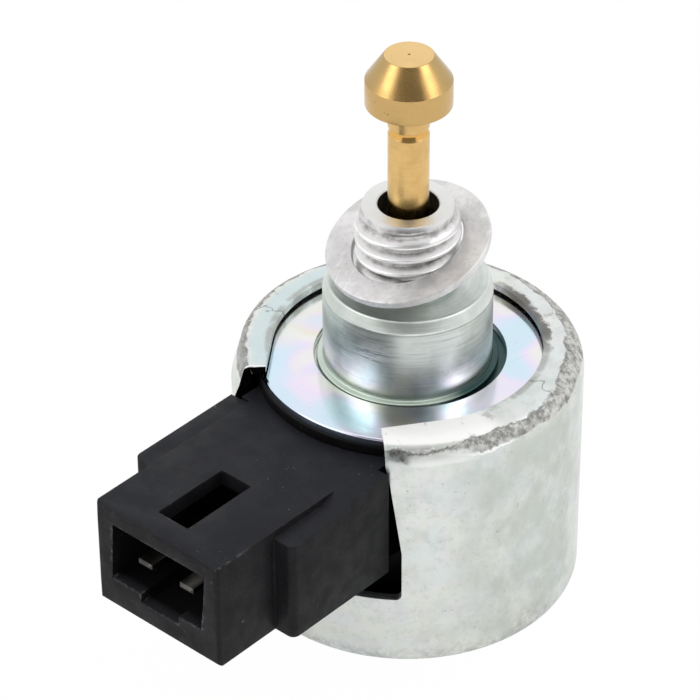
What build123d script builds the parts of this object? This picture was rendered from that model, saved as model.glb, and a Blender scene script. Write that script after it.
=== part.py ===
"""Fuel shutoff solenoid: a drawn steel cup round a moulded coil, with a threaded neck and a brass valve pin.

Millimetres. The origin is the centre of the cup's flat bottom, +Z runs along the neck towards the pin's tip,
and the connector points along -Y.
"""
import os
from math import asin, cos, degrees, radians, sin, sqrt, tan

from build123d import *

os.makedirs("parts", exist_ok=True)

# Drawn cup: outer radius, sheet, bottom bend, and the rim rolled in over the plate by its width
cup_radius = 16.8
cup_wall = 1.0
cup_bottom_bend = 1.5
rim_bend = 2.4
rim_width = 3.9
rim_sheet = 0.9
rim_edge_round = 0.22
rim_lift = 0.12

# Window in the cup's wall: the room beside the connector's root, wide below and narrow above, and its heights
window_gap = 0.3
window_wide_gap = 1.45
window_below_connector = 3.6
window_wide_height = 5.5
window_corner = 1.2

# Ends of the rim beside the window: the slant of their cut, and the angle over which they run straight
rim_end_slant = 49.0
rim_end_run = 19.7

# Cover plate under the rim: it lies a little off the axis, as loose as the rim left it
plate_top = 24.93
plate_thickness = 0.8
plate_play = 1.35
plate_hole_gap = 0.51
plate_edge_round = 0.35
plate_shift_x = 0.19
plate_shift_y = 0.17

# Threaded neck: collar in the plate's hole, barrel, shoulder and an M10 x 1.5 thread at its crest diameter
barrel_radius = 8.04
barrel_length = 8.57
collar_step = 0.6
collar_depth = 0.15
shoulder_step = 0.41
shoulder_taper = 1.14
thread_diameter = 10.0
thread_length = 8.18
thread_chamfer = 0.78
neck_bore_gap = 0.94
neck_flange_overlap = 1.35
neck_flange = 1.2

# Aluminium sealing washer, jammed at a slant on the thread
washer_width = 2.45
washer_hole_gap = 0.45
washer_thickness = 0.8
washer_rise = 3.67
washer_tilt = 17.8
washer_heading = 262.6

# Brass valve pin
stem_radius = 1.93
stem_showing = 10.76
groove_depth = 0.38
groove_width = 0.8
groove_below_head = 2.34
head_radius = 4.04
head_taper = 1.75
head_cylinder = 2.56
head_cone = 2.56
tail_step = 0.43
tail_length = 3.4

# Moving plunger, its stroke and its stops
plunger_radius = 4.5
plunger_length = 12.5
stroke = 3.0
stop_gap = 0.1
shim_thickness = 0.3
shim_hole_radius = 2.5

# Return spring in the bores of plunger and core
spring_wire = 0.5
spring_radius = 1.75
spring_turns = 9
spring_bore_radius = 2.3
spring_seat_depth = 2.0
spring_bore_depth = 8.0

# Guide tube in the middle of the coil, and its two sealing rings
tube_wall = 0.3
tube_seat_depth = 2.07
ring_section = 1.0
ring_groove_depth = 1.05

# Coil on its bobbin
bobbin_tube_wall = 0.9
bobbin_flange = 1.4
winding_below_flange = 0.65
tape_thickness = 0.15

# Fixed core standing on the cup's floor
core_base_radius = 8.2
core_base = 1.9

# Moulded cover round the coil, with the connector on it
cover_play = 2.8
cover_wall = 0.97
cover_flange_overhang = 1.4
cover_foot_play = 0.2
cover_foot = 1.2
cover_floor = 0.95
connector_half_width = 7.65
connector_height = 11.33
connector_reach = 17.6
connector_round = 0.45
wing_width = 2.3
wing_setback = 7.4
wing_drop = 0.8
wing_high_length = 5.0
wing_round = 0.75
wing_gap = 0.3
root_step = 0.95
mouth_half_width = 5.8
mouth_wall_top = 1.7
mouth_height = 6.35
mouth_depth = 13.0
mouth_round = 0.4
keyway_width = 4.8
keyway_depth = 0.95
keyway_shift = 0.2
latch_width = 3.7
latch_length = 8.3
latch_setback = 2.63
latch_shift = -0.27

# Terminal blades and the coil's lead wires
blade_pitch = 5.2
blade_width = 1.7
blade_thickness = 0.55
blade_setback = 1.5
blade_below_top = 5.35
lead_reach = 1.4
blade_tip_chamfer = 0.2
lead_wire_diameter = 0.5

# Conical washer that presses the coil up against the plate
preload_inner_gap = 0.8
preload_play = 3.0
preload_sheet = 0.35

# Named clearances between fitting pieces
face_gap = 0.03
slide_gap = 0.05
radial_gap = 0.03
tube_gap = 0.1
ring_gap = 0.05
press_gap = 0.01
spring_gap = 0.05
moulding_gap = 0.02

# Heights that follow from the sizes above
plate_bottom = plate_top - plate_thickness
cover_top = plate_bottom
rim_under = plate_top + rim_lift
rim_top = rim_under + rim_sheet
rim_bend_start = rim_top - rim_bend
collar_top = plate_top - collar_depth
flange_bottom = plate_bottom - neck_flange
bobbin_top = flange_bottom - face_gap
core_base_top = cup_wall + core_base
bobbin_bottom = core_base_top + 2 * face_gap
cover_bottom = bobbin_bottom - face_gap - cover_floor
shoulder_height = plate_top + barrel_length
thread_top = shoulder_height + thread_length
washer_height = shoulder_height + washer_rise
head_underside = thread_top + stem_showing
tube_top = flange_bottom + ring_groove_depth + tube_seat_depth - face_gap
neck_step = tube_top + face_gap
plunger_top = neck_step - stop_gap
plunger_bottom = plunger_top - plunger_length
core_top = plunger_bottom - stroke - stop_gap - shim_thickness
connector_top = flange_bottom
connector_bottom = connector_top - connector_height
window_bottom = connector_bottom - window_below_connector
window_wide_top = window_bottom + window_wide_height
mouth_top = connector_top - mouth_wall_top
mouth_bottom = mouth_top - mouth_height
blade_height = connector_top - blade_below_top

# Radii of the neck, the guide tube and the pin
thread_radius = thread_diameter / 2
thread_face_radius = thread_radius - thread_chamfer
shoulder_radius = barrel_radius - shoulder_step
collar_radius = barrel_radius + collar_step
plate_hole_radius = collar_radius + plate_hole_gap
neck_flange_radius = plate_hole_radius + neck_flange_overlap
neck_bore_radius = stem_radius + neck_bore_gap
groove_radius = stem_radius - groove_depth
tail_radius = stem_radius - tail_step
head_tip_radius = head_radius - head_taper
washer_hole_radius = thread_radius + washer_hole_gap
washer_radius = washer_hole_radius + washer_width
tube_inner_radius = plunger_radius + slide_gap
tube_outer_radius = tube_inner_radius + tube_wall
ring_inner_radius = tube_outer_radius + ring_gap
ring_outer_radius = ring_inner_radius + ring_section
ring_groove_radius = ring_outer_radius + ring_gap

# Radii from the cup's wall inwards
cup_inner_radius = cup_radius - cup_wall
rim_inner_radius = cup_radius - rim_width
plate_radius = cup_inner_radius - plate_play
cover_foot_radius = cup_inner_radius - cover_foot_play
cover_radius = cup_inner_radius - cover_play
cover_flange_radius = cover_radius + cover_flange_overhang
cover_bore_radius = cover_radius - cover_wall
bobbin_flange_radius = cover_bore_radius - radial_gap
winding_radius = bobbin_flange_radius - winding_below_flange
tape_radius = winding_radius + radial_gap + tape_thickness
bobbin_bore_radius = tube_outer_radius + tube_gap
bobbin_tube_radius = bobbin_bore_radius + bobbin_tube_wall
preload_inner_radius = core_base_radius + preload_inner_gap
preload_outer_radius = cup_inner_radius - preload_play

# Connector: widths, and distances from the axis
root_half_width = connector_half_width + root_step
wing_half_width = connector_half_width + wing_width
connector_front = cup_radius + connector_reach
wing_front = connector_front - wing_setback
wing_back = sqrt((cup_radius + wing_gap) ** 2 - wing_half_width ** 2)
wing_step = wing_back + wing_high_length
mouth_back = connector_front - mouth_depth
blade_back = cover_radius + lead_reach

# Window: half angles seen from the axis, and the slanted ends that its sides give the rim
window_half_angle = degrees(asin((root_half_width + window_wide_gap) / cup_inner_radius))
window_top_half_angle = degrees(asin((root_half_width + window_gap) / cup_inner_radius))
window_inside = cup_inner_radius * cos(radians(window_half_angle)) - cup_wall
window_edge_x = cup_radius * sin(radians(window_top_half_angle))
window_edge_y = cup_radius * cos(radians(window_top_half_angle))
window_apex = window_edge_y - window_edge_x / tan(radians(rim_end_slant))
rim_gap_reach = 2 * window_edge_x
rim_gap_depth = window_apex + rim_gap_reach / tan(radians(rim_end_slant))
rim_end_start = window_top_half_angle + rim_end_run


def corner(sketch, x, y):
    """The vertices of a sketch that lie at one point of its own plane."""
    return sketch.vertices().filter_by(lambda v: abs(v.X - x) < 1e-6 and abs(v.Y - y) < 1e-6)


def window_outline(distance):
    """The window's corners on an upright plane at a distance from the axis: its sides point at the axis."""
    wide = distance * tan(radians(window_half_angle))
    narrow = distance * tan(radians(window_top_half_angle))
    right = [(wide, window_bottom), (wide, window_wide_top), (narrow, rim_bend_start)]
    left = [(-x, z) for x, z in reversed(right)]
    return right + left


def rim_end_trim(side):
    """A triangle from the axis to one rim end's straight edge, a tangent to the rim's inner edge."""
    start = radians(rim_end_start)
    touch = (side * rim_inner_radius * sin(start), -rim_inner_radius * cos(start))
    beyond = (
        touch[0] - side * rim_inner_radius * cos(start),
        touch[1] - rim_inner_radius * sin(start),
    )
    return [(0, 0), touch, beyond]


# Cup, drawn from sheet: the rim is rolled in over the plate, and the window goes up through the rim
with BuildPart() as housing_cup:
    with BuildSketch(Plane.XZ) as cup_section:
        with BuildLine():
            Polyline(
                (0, 0),
                (cup_radius, 0),
                (cup_radius, rim_top),
                (rim_inner_radius, rim_top),
                (rim_inner_radius, rim_under),
                (cup_inner_radius, rim_under),
                (cup_inner_radius, cup_wall),
                (0, cup_wall),
                close=True,
            )
        make_face()
        fillet(corner(cup_section, cup_radius, 0), cup_bottom_bend)
        fillet(corner(cup_section, cup_inner_radius, cup_wall), cup_bottom_bend - cup_wall)
        fillet(corner(cup_section, cup_radius, rim_top), rim_bend)
        fillet(corner(cup_section, cup_inner_radius, rim_under), rim_bend - cup_wall)
        fillet(corner(cup_section, rim_inner_radius, rim_top), rim_edge_round)
        fillet(corner(cup_section, rim_inner_radius, rim_under), rim_edge_round)
    revolve(axis=Axis.Z)
    for distance in (window_inside, cup_radius + cup_wall):
        with BuildSketch(Plane.XZ.offset(distance)) as window_face:
            with BuildLine():
                Polyline(*window_outline(distance), close=True)
            make_face()
            fillet(window_face.vertices().group_by(Axis.Y)[0], window_corner * distance / cup_radius)
    loft(ruled=True, mode=Mode.SUBTRACT)
    with BuildSketch(Plane.XY.offset(rim_bend_start)):
        with BuildLine():
            Polyline(
                (0, -window_apex),
                (rim_gap_reach, -rim_gap_depth),
                (-rim_gap_reach, -rim_gap_depth),
                close=True,
            )
        make_face()
        for side in (1, -1):
            with BuildLine():
                Polyline(*rim_end_trim(side), close=True)
            make_face()
    extrude(amount=2 * rim_bend, mode=Mode.SUBTRACT)
housing_cup.part.label = "housing_cup"
export_step(housing_cup.part, "parts/housing_cup.step")

# Cover plate, blanked with rounded outer edges
with BuildPart() as top_plate:
    with BuildSketch(Plane.XY.offset(plate_bottom)):
        with Locations((plate_shift_x, plate_shift_y)):
            Circle(plate_radius)
            Circle(plate_hole_radius, mode=Mode.SUBTRACT)
    extrude(amount=plate_thickness)
    plate_rim = top_plate.faces().sort_by(Axis.Z)[-1].outer_wire().edges()
    fillet(plate_rim, plate_edge_round)
top_plate.part.label = "top_plate"
export_step(top_plate.part, "parts/top_plate.step")

# Neck, turned from bar: thread, tapered shoulder, barrel, the flange under the plate, and the tube's seat
with BuildPart() as threaded_neck:
    with BuildSketch(Plane.XZ):
        with BuildLine():
            Polyline(
                (neck_bore_radius, thread_top),
                (thread_face_radius, thread_top),
                (thread_radius, thread_top - thread_chamfer),
                (thread_radius, shoulder_height),
                (shoulder_radius, shoulder_height),
                (barrel_radius, shoulder_height - shoulder_taper),
                (barrel_radius, collar_top),
                (collar_radius, collar_top),
                (collar_radius, plate_bottom),
                (neck_flange_radius, plate_bottom),
                (neck_flange_radius, flange_bottom),
                (ring_groove_radius, flange_bottom),
                (ring_groove_radius, flange_bottom + ring_groove_depth),
                (tube_outer_radius + radial_gap, flange_bottom + ring_groove_depth),
                (tube_outer_radius + radial_gap, neck_step),
                (neck_bore_radius, neck_step),
                close=True,
            )
        make_face()
    revolve(axis=Axis.Z)
threaded_neck.part.label = "threaded_neck"
export_step(threaded_neck.part, "parts/threaded_neck.step")

# Sealing washer: the slant that its hole allows holds it on the thread
washer_axis = (
    sin(radians(washer_tilt)) * cos(radians(washer_heading)),
    sin(radians(washer_tilt)) * sin(radians(washer_heading)),
    cos(radians(washer_tilt)),
)
with BuildPart() as sealing_washer:
    with BuildSketch(Plane(origin=(0, 0, washer_height), z_dir=washer_axis)):
        Circle(washer_radius)
        Circle(washer_hole_radius, mode=Mode.SUBTRACT)
    extrude(amount=washer_thickness / 2, both=True)
sealing_washer.part.label = "sealing_washer"
export_step(sealing_washer.part, "parts/sealing_washer.step")

# Valve pin: cone-tipped head, grooved stem, and a tail pressed into the plunger
groove_top = head_underside - groove_below_head
with BuildPart() as valve_pin:
    with BuildSketch(Plane.XZ):
        with BuildLine():
            Polyline(
                (0, plunger_top - tail_length),
                (tail_radius, plunger_top - tail_length),
                (tail_radius, plunger_top),
                (stem_radius, plunger_top),
                (stem_radius, groove_top - groove_width),
                (groove_radius, groove_top - groove_width),
                (groove_radius, groove_top),
                (stem_radius, groove_top),
                (stem_radius, head_underside),
                (head_radius, head_underside),
                (head_radius, head_underside + head_cylinder),
                (head_tip_radius, head_underside + head_cylinder + head_cone),
                (0, head_underside + head_cylinder + head_cone),
                close=True,
            )
        make_face()
    revolve(axis=Axis.Z)
valve_pin.part.label = "valve_pin"
export_step(valve_pin.part, "parts/valve_pin.step")

# Plunger: a bore below for the spring, and one above for the pin's tail
with BuildPart() as plunger:
    with BuildSketch(Plane.XY.offset(plunger_bottom)):
        Circle(plunger_radius)
    extrude(amount=plunger_length)
    with BuildSketch(Plane.XY.offset(plunger_bottom)):
        Circle(spring_bore_radius)
    extrude(amount=spring_bore_depth, mode=Mode.SUBTRACT)
    with BuildSketch(Plane.XY.offset(plunger_top)):
        Circle(tail_radius + press_gap)
    extrude(amount=-(tail_length + press_gap), mode=Mode.SUBTRACT)
plunger.part.label = "plunger"
export_step(plunger.part, "parts/plunger.step")

# Return spring between the core's seat and the end of the plunger's bore
spring_low = core_top - spring_seat_depth + spring_gap + spring_wire / 2
spring_high = plunger_bottom + spring_bore_depth - spring_gap - spring_wire / 2
spring_height = spring_high - spring_low
with BuildPart() as return_spring:
    with BuildLine() as spring_line:
        Helix(
            pitch=spring_height / spring_turns,
            height=spring_height,
            radius=spring_radius,
            center=(0, 0, spring_low),
        )
    with BuildSketch(Plane(origin=spring_line.line @ 0, z_dir=spring_line.line % 0)):
        Circle(spring_wire / 2)
    sweep(path=spring_line.line, is_frenet=True)
return_spring.part.label = "return_spring"
export_step(return_spring.part, "parts/return_spring.step")

# Fixed core: a foot on the cup's floor, and a post up inside the guide tube
with BuildPart() as fixed_core:
    with BuildSketch(Plane.XY.offset(cup_wall)):
        Circle(core_base_radius)
    extrude(amount=core_base)
    with BuildSketch(Plane.XY.offset(core_base_top)):
        Circle(plunger_radius)
    extrude(amount=core_top - core_base_top)
    with BuildSketch(Plane.XY.offset(core_top)):
        Circle(spring_bore_radius)
    extrude(amount=-spring_seat_depth, mode=Mode.SUBTRACT)
fixed_core.part.label = "fixed_core"
export_step(fixed_core.part, "parts/fixed_core.step")

# Shim that keeps the plunger from sticking to the core
with BuildPart() as plunger_shim:
    with BuildSketch(Plane.XY.offset(core_top)):
        Circle(plunger_radius)
        Circle(shim_hole_radius, mode=Mode.SUBTRACT)
    extrude(amount=shim_thickness)
plunger_shim.part.label = "plunger_shim"
export_step(plunger_shim.part, "parts/plunger_shim.step")

# Guide tube from the core's foot up into the neck
with BuildPart() as guide_tube:
    with BuildSketch(Plane.XY.offset(core_base_top)):
        Circle(tube_outer_radius)
        Circle(tube_inner_radius, mode=Mode.SUBTRACT)
    extrude(amount=tube_top - core_base_top)
guide_tube.part.label = "guide_tube"
export_step(guide_tube.part, "parts/guide_tube.step")

# Sealing rings round the guide tube, one under the neck and one on the core's foot
ring_centre_radius = ring_inner_radius + ring_section / 2
with BuildPart() as neck_o_ring:
    with BuildSketch(Plane.XZ):
        with Locations((ring_centre_radius, flange_bottom + ring_section / 2)):
            Circle(ring_section / 2)
    revolve(axis=Axis.Z)
neck_o_ring.part.label = "neck_o_ring"
export_step(neck_o_ring.part, "parts/neck_o_ring.step")

with BuildPart() as core_o_ring:
    with BuildSketch(Plane.XZ):
        with Locations((ring_centre_radius, core_base_top + face_gap + ring_section / 2)):
            Circle(ring_section / 2)
    revolve(axis=Axis.Z)
core_o_ring.part.label = "core_o_ring"
export_step(core_o_ring.part, "parts/core_o_ring.step")

# Bobbin: a tube with two flanges, the lower one recessed for the core's sealing ring
with BuildPart() as coil_bobbin:
    with BuildSketch(Plane.XZ):
        with BuildLine():
            Polyline(
                (bobbin_bore_radius, bobbin_top),
                (bobbin_flange_radius, bobbin_top),
                (bobbin_flange_radius, bobbin_top - bobbin_flange),
                (bobbin_tube_radius, bobbin_top - bobbin_flange),
                (bobbin_tube_radius, bobbin_bottom + bobbin_flange),
                (bobbin_flange_radius, bobbin_bottom + bobbin_flange),
                (bobbin_flange_radius, bobbin_bottom),
                (ring_groove_radius, bobbin_bottom),
                (ring_groove_radius, bobbin_bottom + ring_groove_depth),
                (bobbin_bore_radius, bobbin_bottom + ring_groove_depth),
                close=True,
            )
        make_face()
    revolve(axis=Axis.Z)
coil_bobbin.part.label = "coil_bobbin"
export_step(coil_bobbin.part, "parts/coil_bobbin.step")

# Winding and the tape round it, between the bobbin's flanges
winding_low = bobbin_bottom + bobbin_flange + face_gap
winding_high = bobbin_top - bobbin_flange - face_gap
with BuildPart() as coil_winding:
    with BuildSketch(Plane.XY.offset(winding_low)):
        Circle(winding_radius)
        Circle(bobbin_tube_radius + radial_gap, mode=Mode.SUBTRACT)
    extrude(amount=winding_high - winding_low)
coil_winding.part.label = "coil_winding"
export_step(coil_winding.part, "parts/coil_winding.step")

with BuildPart() as coil_tape:
    with BuildSketch(Plane.XY.offset(winding_low)):
        Circle(tape_radius)
        Circle(winding_radius + radial_gap, mode=Mode.SUBTRACT)
    extrude(amount=winding_high - winding_low)
coil_tape.part.label = "coil_tape"
export_step(coil_tape.part, "parts/coil_tape.step")

# Moulded cover: a shell round the coil, its flange under the plate, its foot in the cup, and the connector
with BuildPart() as connector_body:
    with BuildSketch(Plane.XY.offset(cover_bottom)):
        Circle(cover_foot_radius)
    extrude(amount=cover_foot)
    with BuildSketch(Plane.XY.offset(cover_bottom)):
        Circle(cover_radius)
    extrude(amount=cover_top - cover_bottom)
    with BuildSketch(Plane.XY.offset(flange_bottom)):
        Circle(cover_flange_radius)
    extrude(amount=cover_top - flange_bottom)
    # connector block, from its root in the shell to its front
    with BuildSketch(Plane.XY.offset(connector_bottom)) as block_plan:
        with BuildLine():
            Polyline(
                (-connector_half_width, -connector_front),
                (connector_half_width, -connector_front),
                (connector_half_width, 0),
                (-connector_half_width, 0),
                close=True,
            )
        make_face()
        front_corners = block_plan.vertices().group_by(Axis.Y)[0]
        fillet(front_corners, connector_round)
    extrude(amount=connector_height)
    # wings beside the block, lower at the front and level with its top further back
    for back_line, top_height in ((wing_front, connector_top - wing_drop), (wing_step, connector_top)):
        with BuildSketch(Plane.XY.offset(connector_bottom)) as wing_plan:
            with BuildLine():
                Polyline(
                    (-wing_half_width, -back_line),
                    (wing_half_width, -back_line),
                    (wing_half_width, -wing_back),
                    (-wing_half_width, -wing_back),
                    close=True,
                )
            make_face()
            if back_line == wing_front:
                fillet(wing_plan.vertices().group_by(Axis.Y)[0], wing_round)
        extrude(amount=top_height - connector_bottom)
    # root that passes through the cup's window
    with BuildSketch(Plane.XY.offset(connector_bottom)):
        with Locations((0, -wing_step / 2)):
            Rectangle(2 * root_half_width, wing_step)
    extrude(amount=connector_height)
    # room for the bobbin, for the neck's flange above it and for the core's foot below it
    with BuildSketch(Plane.XY.offset(bobbin_bottom - face_gap)):
        Circle(cover_bore_radius)
    extrude(amount=flange_bottom - bobbin_bottom + face_gap, mode=Mode.SUBTRACT)
    with BuildSketch(Plane.XY.offset(flange_bottom)):
        Circle(neck_flange_radius + tube_gap)
    extrude(amount=cover_top - flange_bottom, mode=Mode.SUBTRACT)
    with BuildSketch(Plane.XY.offset(cover_bottom)):
        Circle(core_base_radius + tube_gap)
    extrude(amount=cover_floor, mode=Mode.SUBTRACT)
    # mouth of the connector, with a keyway in its floor
    with BuildSketch(Plane.XZ.offset(connector_front)) as mouth_outline:
        with Locations((0, mouth_bottom + mouth_height / 2)):
            RectangleRounded(2 * mouth_half_width, mouth_height, mouth_round)
    extrude(amount=-mouth_depth, mode=Mode.SUBTRACT)
    with BuildSketch(Plane.XZ.offset(connector_front)):
        with Locations((keyway_shift, mouth_bottom)):
            Rectangle(keyway_width, 2 * keyway_depth)
    extrude(amount=-mouth_depth, mode=Mode.SUBTRACT)
    # latch slot through the mouth's roof
    with BuildSketch(Plane.XY.offset(mouth_top - mouth_round)):
        with Locations((latch_shift, -connector_front + latch_setback + latch_length / 2)):
            Rectangle(latch_width, latch_length)
    extrude(amount=mouth_wall_top + 2 * mouth_round, mode=Mode.SUBTRACT)
    # slots for the blades and holes for the lead wires
    for side in (-1, 1):
        with BuildSketch(Plane.XZ.offset(blade_back - moulding_gap)):
            with Locations((side * blade_pitch / 2, blade_height)):
                Rectangle(blade_width + 2 * moulding_gap, blade_thickness + 2 * moulding_gap)
        extrude(amount=mouth_back - blade_back + mouth_round, mode=Mode.SUBTRACT)
        with BuildSketch(Plane.XZ.offset(tape_radius - radial_gap)):
            with Locations((side * blade_pitch / 2, blade_height)):
                Circle(lead_wire_diameter / 2 + moulding_gap)
        extrude(amount=blade_back - tape_radius + radial_gap, mode=Mode.SUBTRACT)
connector_body.part.label = "connector_body"
export_step(connector_body.part, "parts/connector_body.step")

# Terminal blades, moulded in behind the mouth, and the lead wires from them to the winding
blade_front = connector_front - blade_setback
wire_end = sqrt((tape_radius + radial_gap) ** 2 - (blade_pitch / 2 - lead_wire_diameter / 2) ** 2)
for side, hand in ((-1, "left"), (1, "right")):
    with BuildPart() as terminal_blade:
        with BuildSketch(Plane.XZ.offset(blade_back)):
            with Locations((side * blade_pitch / 2, blade_height)):
                Rectangle(blade_width, blade_thickness)
        extrude(amount=blade_front - blade_back)
        blade_tip = terminal_blade.faces().sort_by(Axis.Y)[0].edges()
        chamfer(blade_tip, blade_tip_chamfer)
    terminal_blade.part.label = f"terminal_blade_{hand}"
    export_step(terminal_blade.part, f"parts/terminal_blade_{hand}.step")

    with BuildPart() as lead_wire:
        with BuildSketch(Plane.XZ.offset(wire_end)):
            with Locations((side * blade_pitch / 2, blade_height)):
                Circle(lead_wire_diameter / 2)
        extrude(amount=blade_back - wire_end)
    lead_wire.part.label = f"lead_wire_{hand}"
    export_step(lead_wire.part, f"parts/lead_wire_{hand}.step")

# Conical washer between the cup's floor and the cover's foot
preload_low = cup_wall + face_gap
preload_high = cover_bottom - face_gap
with BuildPart() as preload_washer:
    with BuildSketch(Plane.XZ):
        with BuildLine():
            Polyline(
                (preload_inner_radius, preload_high),
                (preload_inner_radius, preload_high - preload_sheet),
                (preload_outer_radius, preload_low),
                (preload_outer_radius, preload_low + preload_sheet),
                close=True,
            )
        make_face()
    revolve(axis=Axis.Z)
preload_washer.part.label = "preload_washer"
export_step(preload_washer.part, "parts/preload_washer.step")
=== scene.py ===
"""Fuel shutoff solenoid: the dressed model, made round its packed solids.

Metres. The origin is the centre of the cup's flat bottom, +Z runs along the neck towards the pin's tip,
and the connector points along -Y. Angles round the axis start at the connector and grow towards +X.
"""
from math import asin, atan2, cos, hypot, pi, radians, sin, sqrt, tan

import bmesh
import bpy
from bpy.props import FloatProperty, FloatVectorProperty, IntProperty, PointerProperty
from mathutils import Matrix, Vector


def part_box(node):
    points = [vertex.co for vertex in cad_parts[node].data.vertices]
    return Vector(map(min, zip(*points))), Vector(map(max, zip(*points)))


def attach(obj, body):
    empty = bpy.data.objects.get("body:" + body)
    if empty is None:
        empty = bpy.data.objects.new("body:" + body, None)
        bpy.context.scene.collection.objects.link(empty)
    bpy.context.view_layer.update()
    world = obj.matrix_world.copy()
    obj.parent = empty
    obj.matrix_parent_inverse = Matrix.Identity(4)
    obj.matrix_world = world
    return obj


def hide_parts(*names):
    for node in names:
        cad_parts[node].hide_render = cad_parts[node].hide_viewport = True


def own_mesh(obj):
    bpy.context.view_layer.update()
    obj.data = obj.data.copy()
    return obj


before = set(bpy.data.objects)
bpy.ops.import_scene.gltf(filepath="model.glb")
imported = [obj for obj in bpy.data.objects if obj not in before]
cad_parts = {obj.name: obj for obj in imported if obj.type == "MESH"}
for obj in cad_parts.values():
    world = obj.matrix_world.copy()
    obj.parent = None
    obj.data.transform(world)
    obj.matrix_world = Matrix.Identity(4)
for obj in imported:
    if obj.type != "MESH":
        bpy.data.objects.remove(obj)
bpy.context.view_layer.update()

bl_info = {
    "name": "Fuel Shutoff Solenoid",
    "version": (1, 0, 0),
    "blender": (4, 5, 0),
    "location": "View3D > Sidebar > Solenoid",
    "description": "Makes a fuel shutoff solenoid's cup, neck, pin, connector, spring and finishes",
    "category": "Add Mesh",
}

MM = 0.001
HOUSING = "housing"
PLUNGER_UNIT = "plunger_unit"

cup_low, cup_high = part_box("housing_cup")
plate_low, plate_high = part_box("top_plate")
neck_low, neck_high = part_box("threaded_neck")
pin_low, pin_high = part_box("valve_pin")
moulding_low, moulding_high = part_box("connector_body")
blade_low, blade_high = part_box("terminal_blade_right")
spring_low, spring_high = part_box("return_spring")


def length(name, description, default):
    """A size in metres."""
    return FloatProperty(name=name, description=description, default=default, unit="LENGTH", precision=5)


def turn(name, description, default):
    """An angle, given in degrees and kept in radians."""
    return FloatProperty(name=name, description=description, default=radians(default), unit="ROTATION")


def tint(name, description, default):
    """A colour."""
    return FloatVectorProperty(
        name=name, description=description, default=default, subtype="COLOR", size=3, min=0, max=1
    )


def share(name, description, default):
    """A number from nought to one."""
    return FloatProperty(name=name, description=description, default=default, subtype="FACTOR", min=0, max=1)


class CupSizes(bpy.types.PropertyGroup):
    """Sizes of the drawn cup."""

    radius: length("Radius", "Outer radius of the wall", cup_high.x)
    sheet: length("Sheet", "Thickness of the drawn sheet", 0.95 * MM)
    lip_sheet: length("Lip sheet", "Thickness of the sheet where it is rolled in", 0.7 * MM)
    bottom_bend: length("Bottom bend", "Outer radius between wall and bottom", 1.5 * MM)
    rim_bend: length("Rim bend", "Outer radius where the rim rolls in", 2.4 * MM)
    rim_top: length("Rim height", "Height of the rolled rim", cup_high.z)
    lip_radius: length("Lip radius", "Inner radius of the rolled rim", 12.9 * MM)
    edge_round: length("Edge round", "Rounding of the sheet's cut edges", 0.24 * MM)
    sill: length("Sill height", "Height of the window's lower edge", 8.0 * MM)
    sill_corner: length("Sill corner", "Corner radius of the window's lower edge", 0.6 * MM)
    wide_top: length("Wide height", "Height up to which the window is wide", 13.5 * MM)
    wide_half: turn("Wide half angle", "Half angle of the window's wide part", 39.5)
    narrow_half: turn("Narrow half angle", "Half angle of the window under the rim", 34.28)
    end_slant: turn("Rim end slant", "Slant of the rim's two cut ends", 49.0)
    end_reach: length("Rim end reach", "Distance from the axis to where the slants meet", 5.66 * MM)
    end_run: turn("Rim end run", "Angle at which the rim's ends leave the round lip", 53.98)
    lean_from: length("Lean height", "Height from which the left wall leans in", 22.3 * MM)
    lean: length("Lean", "How far the left wall leans in at its top", 0.8 * MM)
    lean_bend: length("Lean bend", "Outer radius of the rim over the leaning wall", 0.75 * MM)


class PlateSizes(bpy.types.PropertyGroup):
    """Sizes of the cover plate."""

    radius: length("Radius", "Outer radius", 14.45 * MM)
    hole: length("Hole", "Radius of the neck's hole", 9.15 * MM)
    low: length("Underside", "Height of the underside", plate_low.z)
    high: length("Top", "Height of the top", plate_high.z)
    edge_round: length("Edge round", "Rounding of the outer edge", 0.22 * MM)
    hole_round: length("Hole round", "Rounding of the hole's edge", 0.12 * MM)
    shift_x: length("Shift X", "How far the plate lies off the axis", 0.19 * MM)
    shift_y: length("Shift Y", "How far the plate lies off the axis", 0.17 * MM)


class NeckSizes(bpy.types.PropertyGroup):
    """Sizes of the threaded neck."""

    top: length("Top", "Height of the neck's end", neck_high.z)
    bore: length("Bore", "Radius of the bore", 2.87 * MM)
    thread: length("Thread", "Radius over the thread's crests", 5.0 * MM)
    root: length("Root", "Radius in the thread's roots", 4.3 * MM)
    pitch: length("Pitch", "Pitch of the thread", 1.5 * MM)
    start: turn("Thread start", "Turn of the thread about the axis", 60.0)
    chamfer: length("Chamfer", "How much narrower the thread's end is", 0.78 * MM)
    lead: length("Lead", "Height over which the thread grows to its full radius", 1.9 * MM)
    relief: length("Relief", "Height of the plain run under the thread", 0.8 * MM)
    shoulder: length("Shoulder", "Height of the shoulder under the thread", 33.5 * MM)
    shoulder_radius: length("Shoulder radius", "Radius of the shoulder's flat", 7.63 * MM)
    taper: length("Taper", "Height of the tapered band under the shoulder", 1.14 * MM)
    barrel: length("Barrel", "Radius of the barrel", 8.04 * MM)
    collar: length("Collar", "Radius of the collar in the plate's hole", 8.64 * MM)
    collar_top: length("Collar height", "Height of the collar's top", 24.78 * MM)
    flange: length("Flange", "Radius of the flange under the plate", neck_high.x)
    shoulder_round: length("Shoulder round", "Rounding of the shoulder's edge", 0.22 * MM)
    barrel_round: length("Barrel round", "Rounding under the tapered band", 0.2 * MM)
    collar_fillet: length("Collar fillet", "Fillet between the barrel and its collar", 0.14 * MM)


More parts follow.
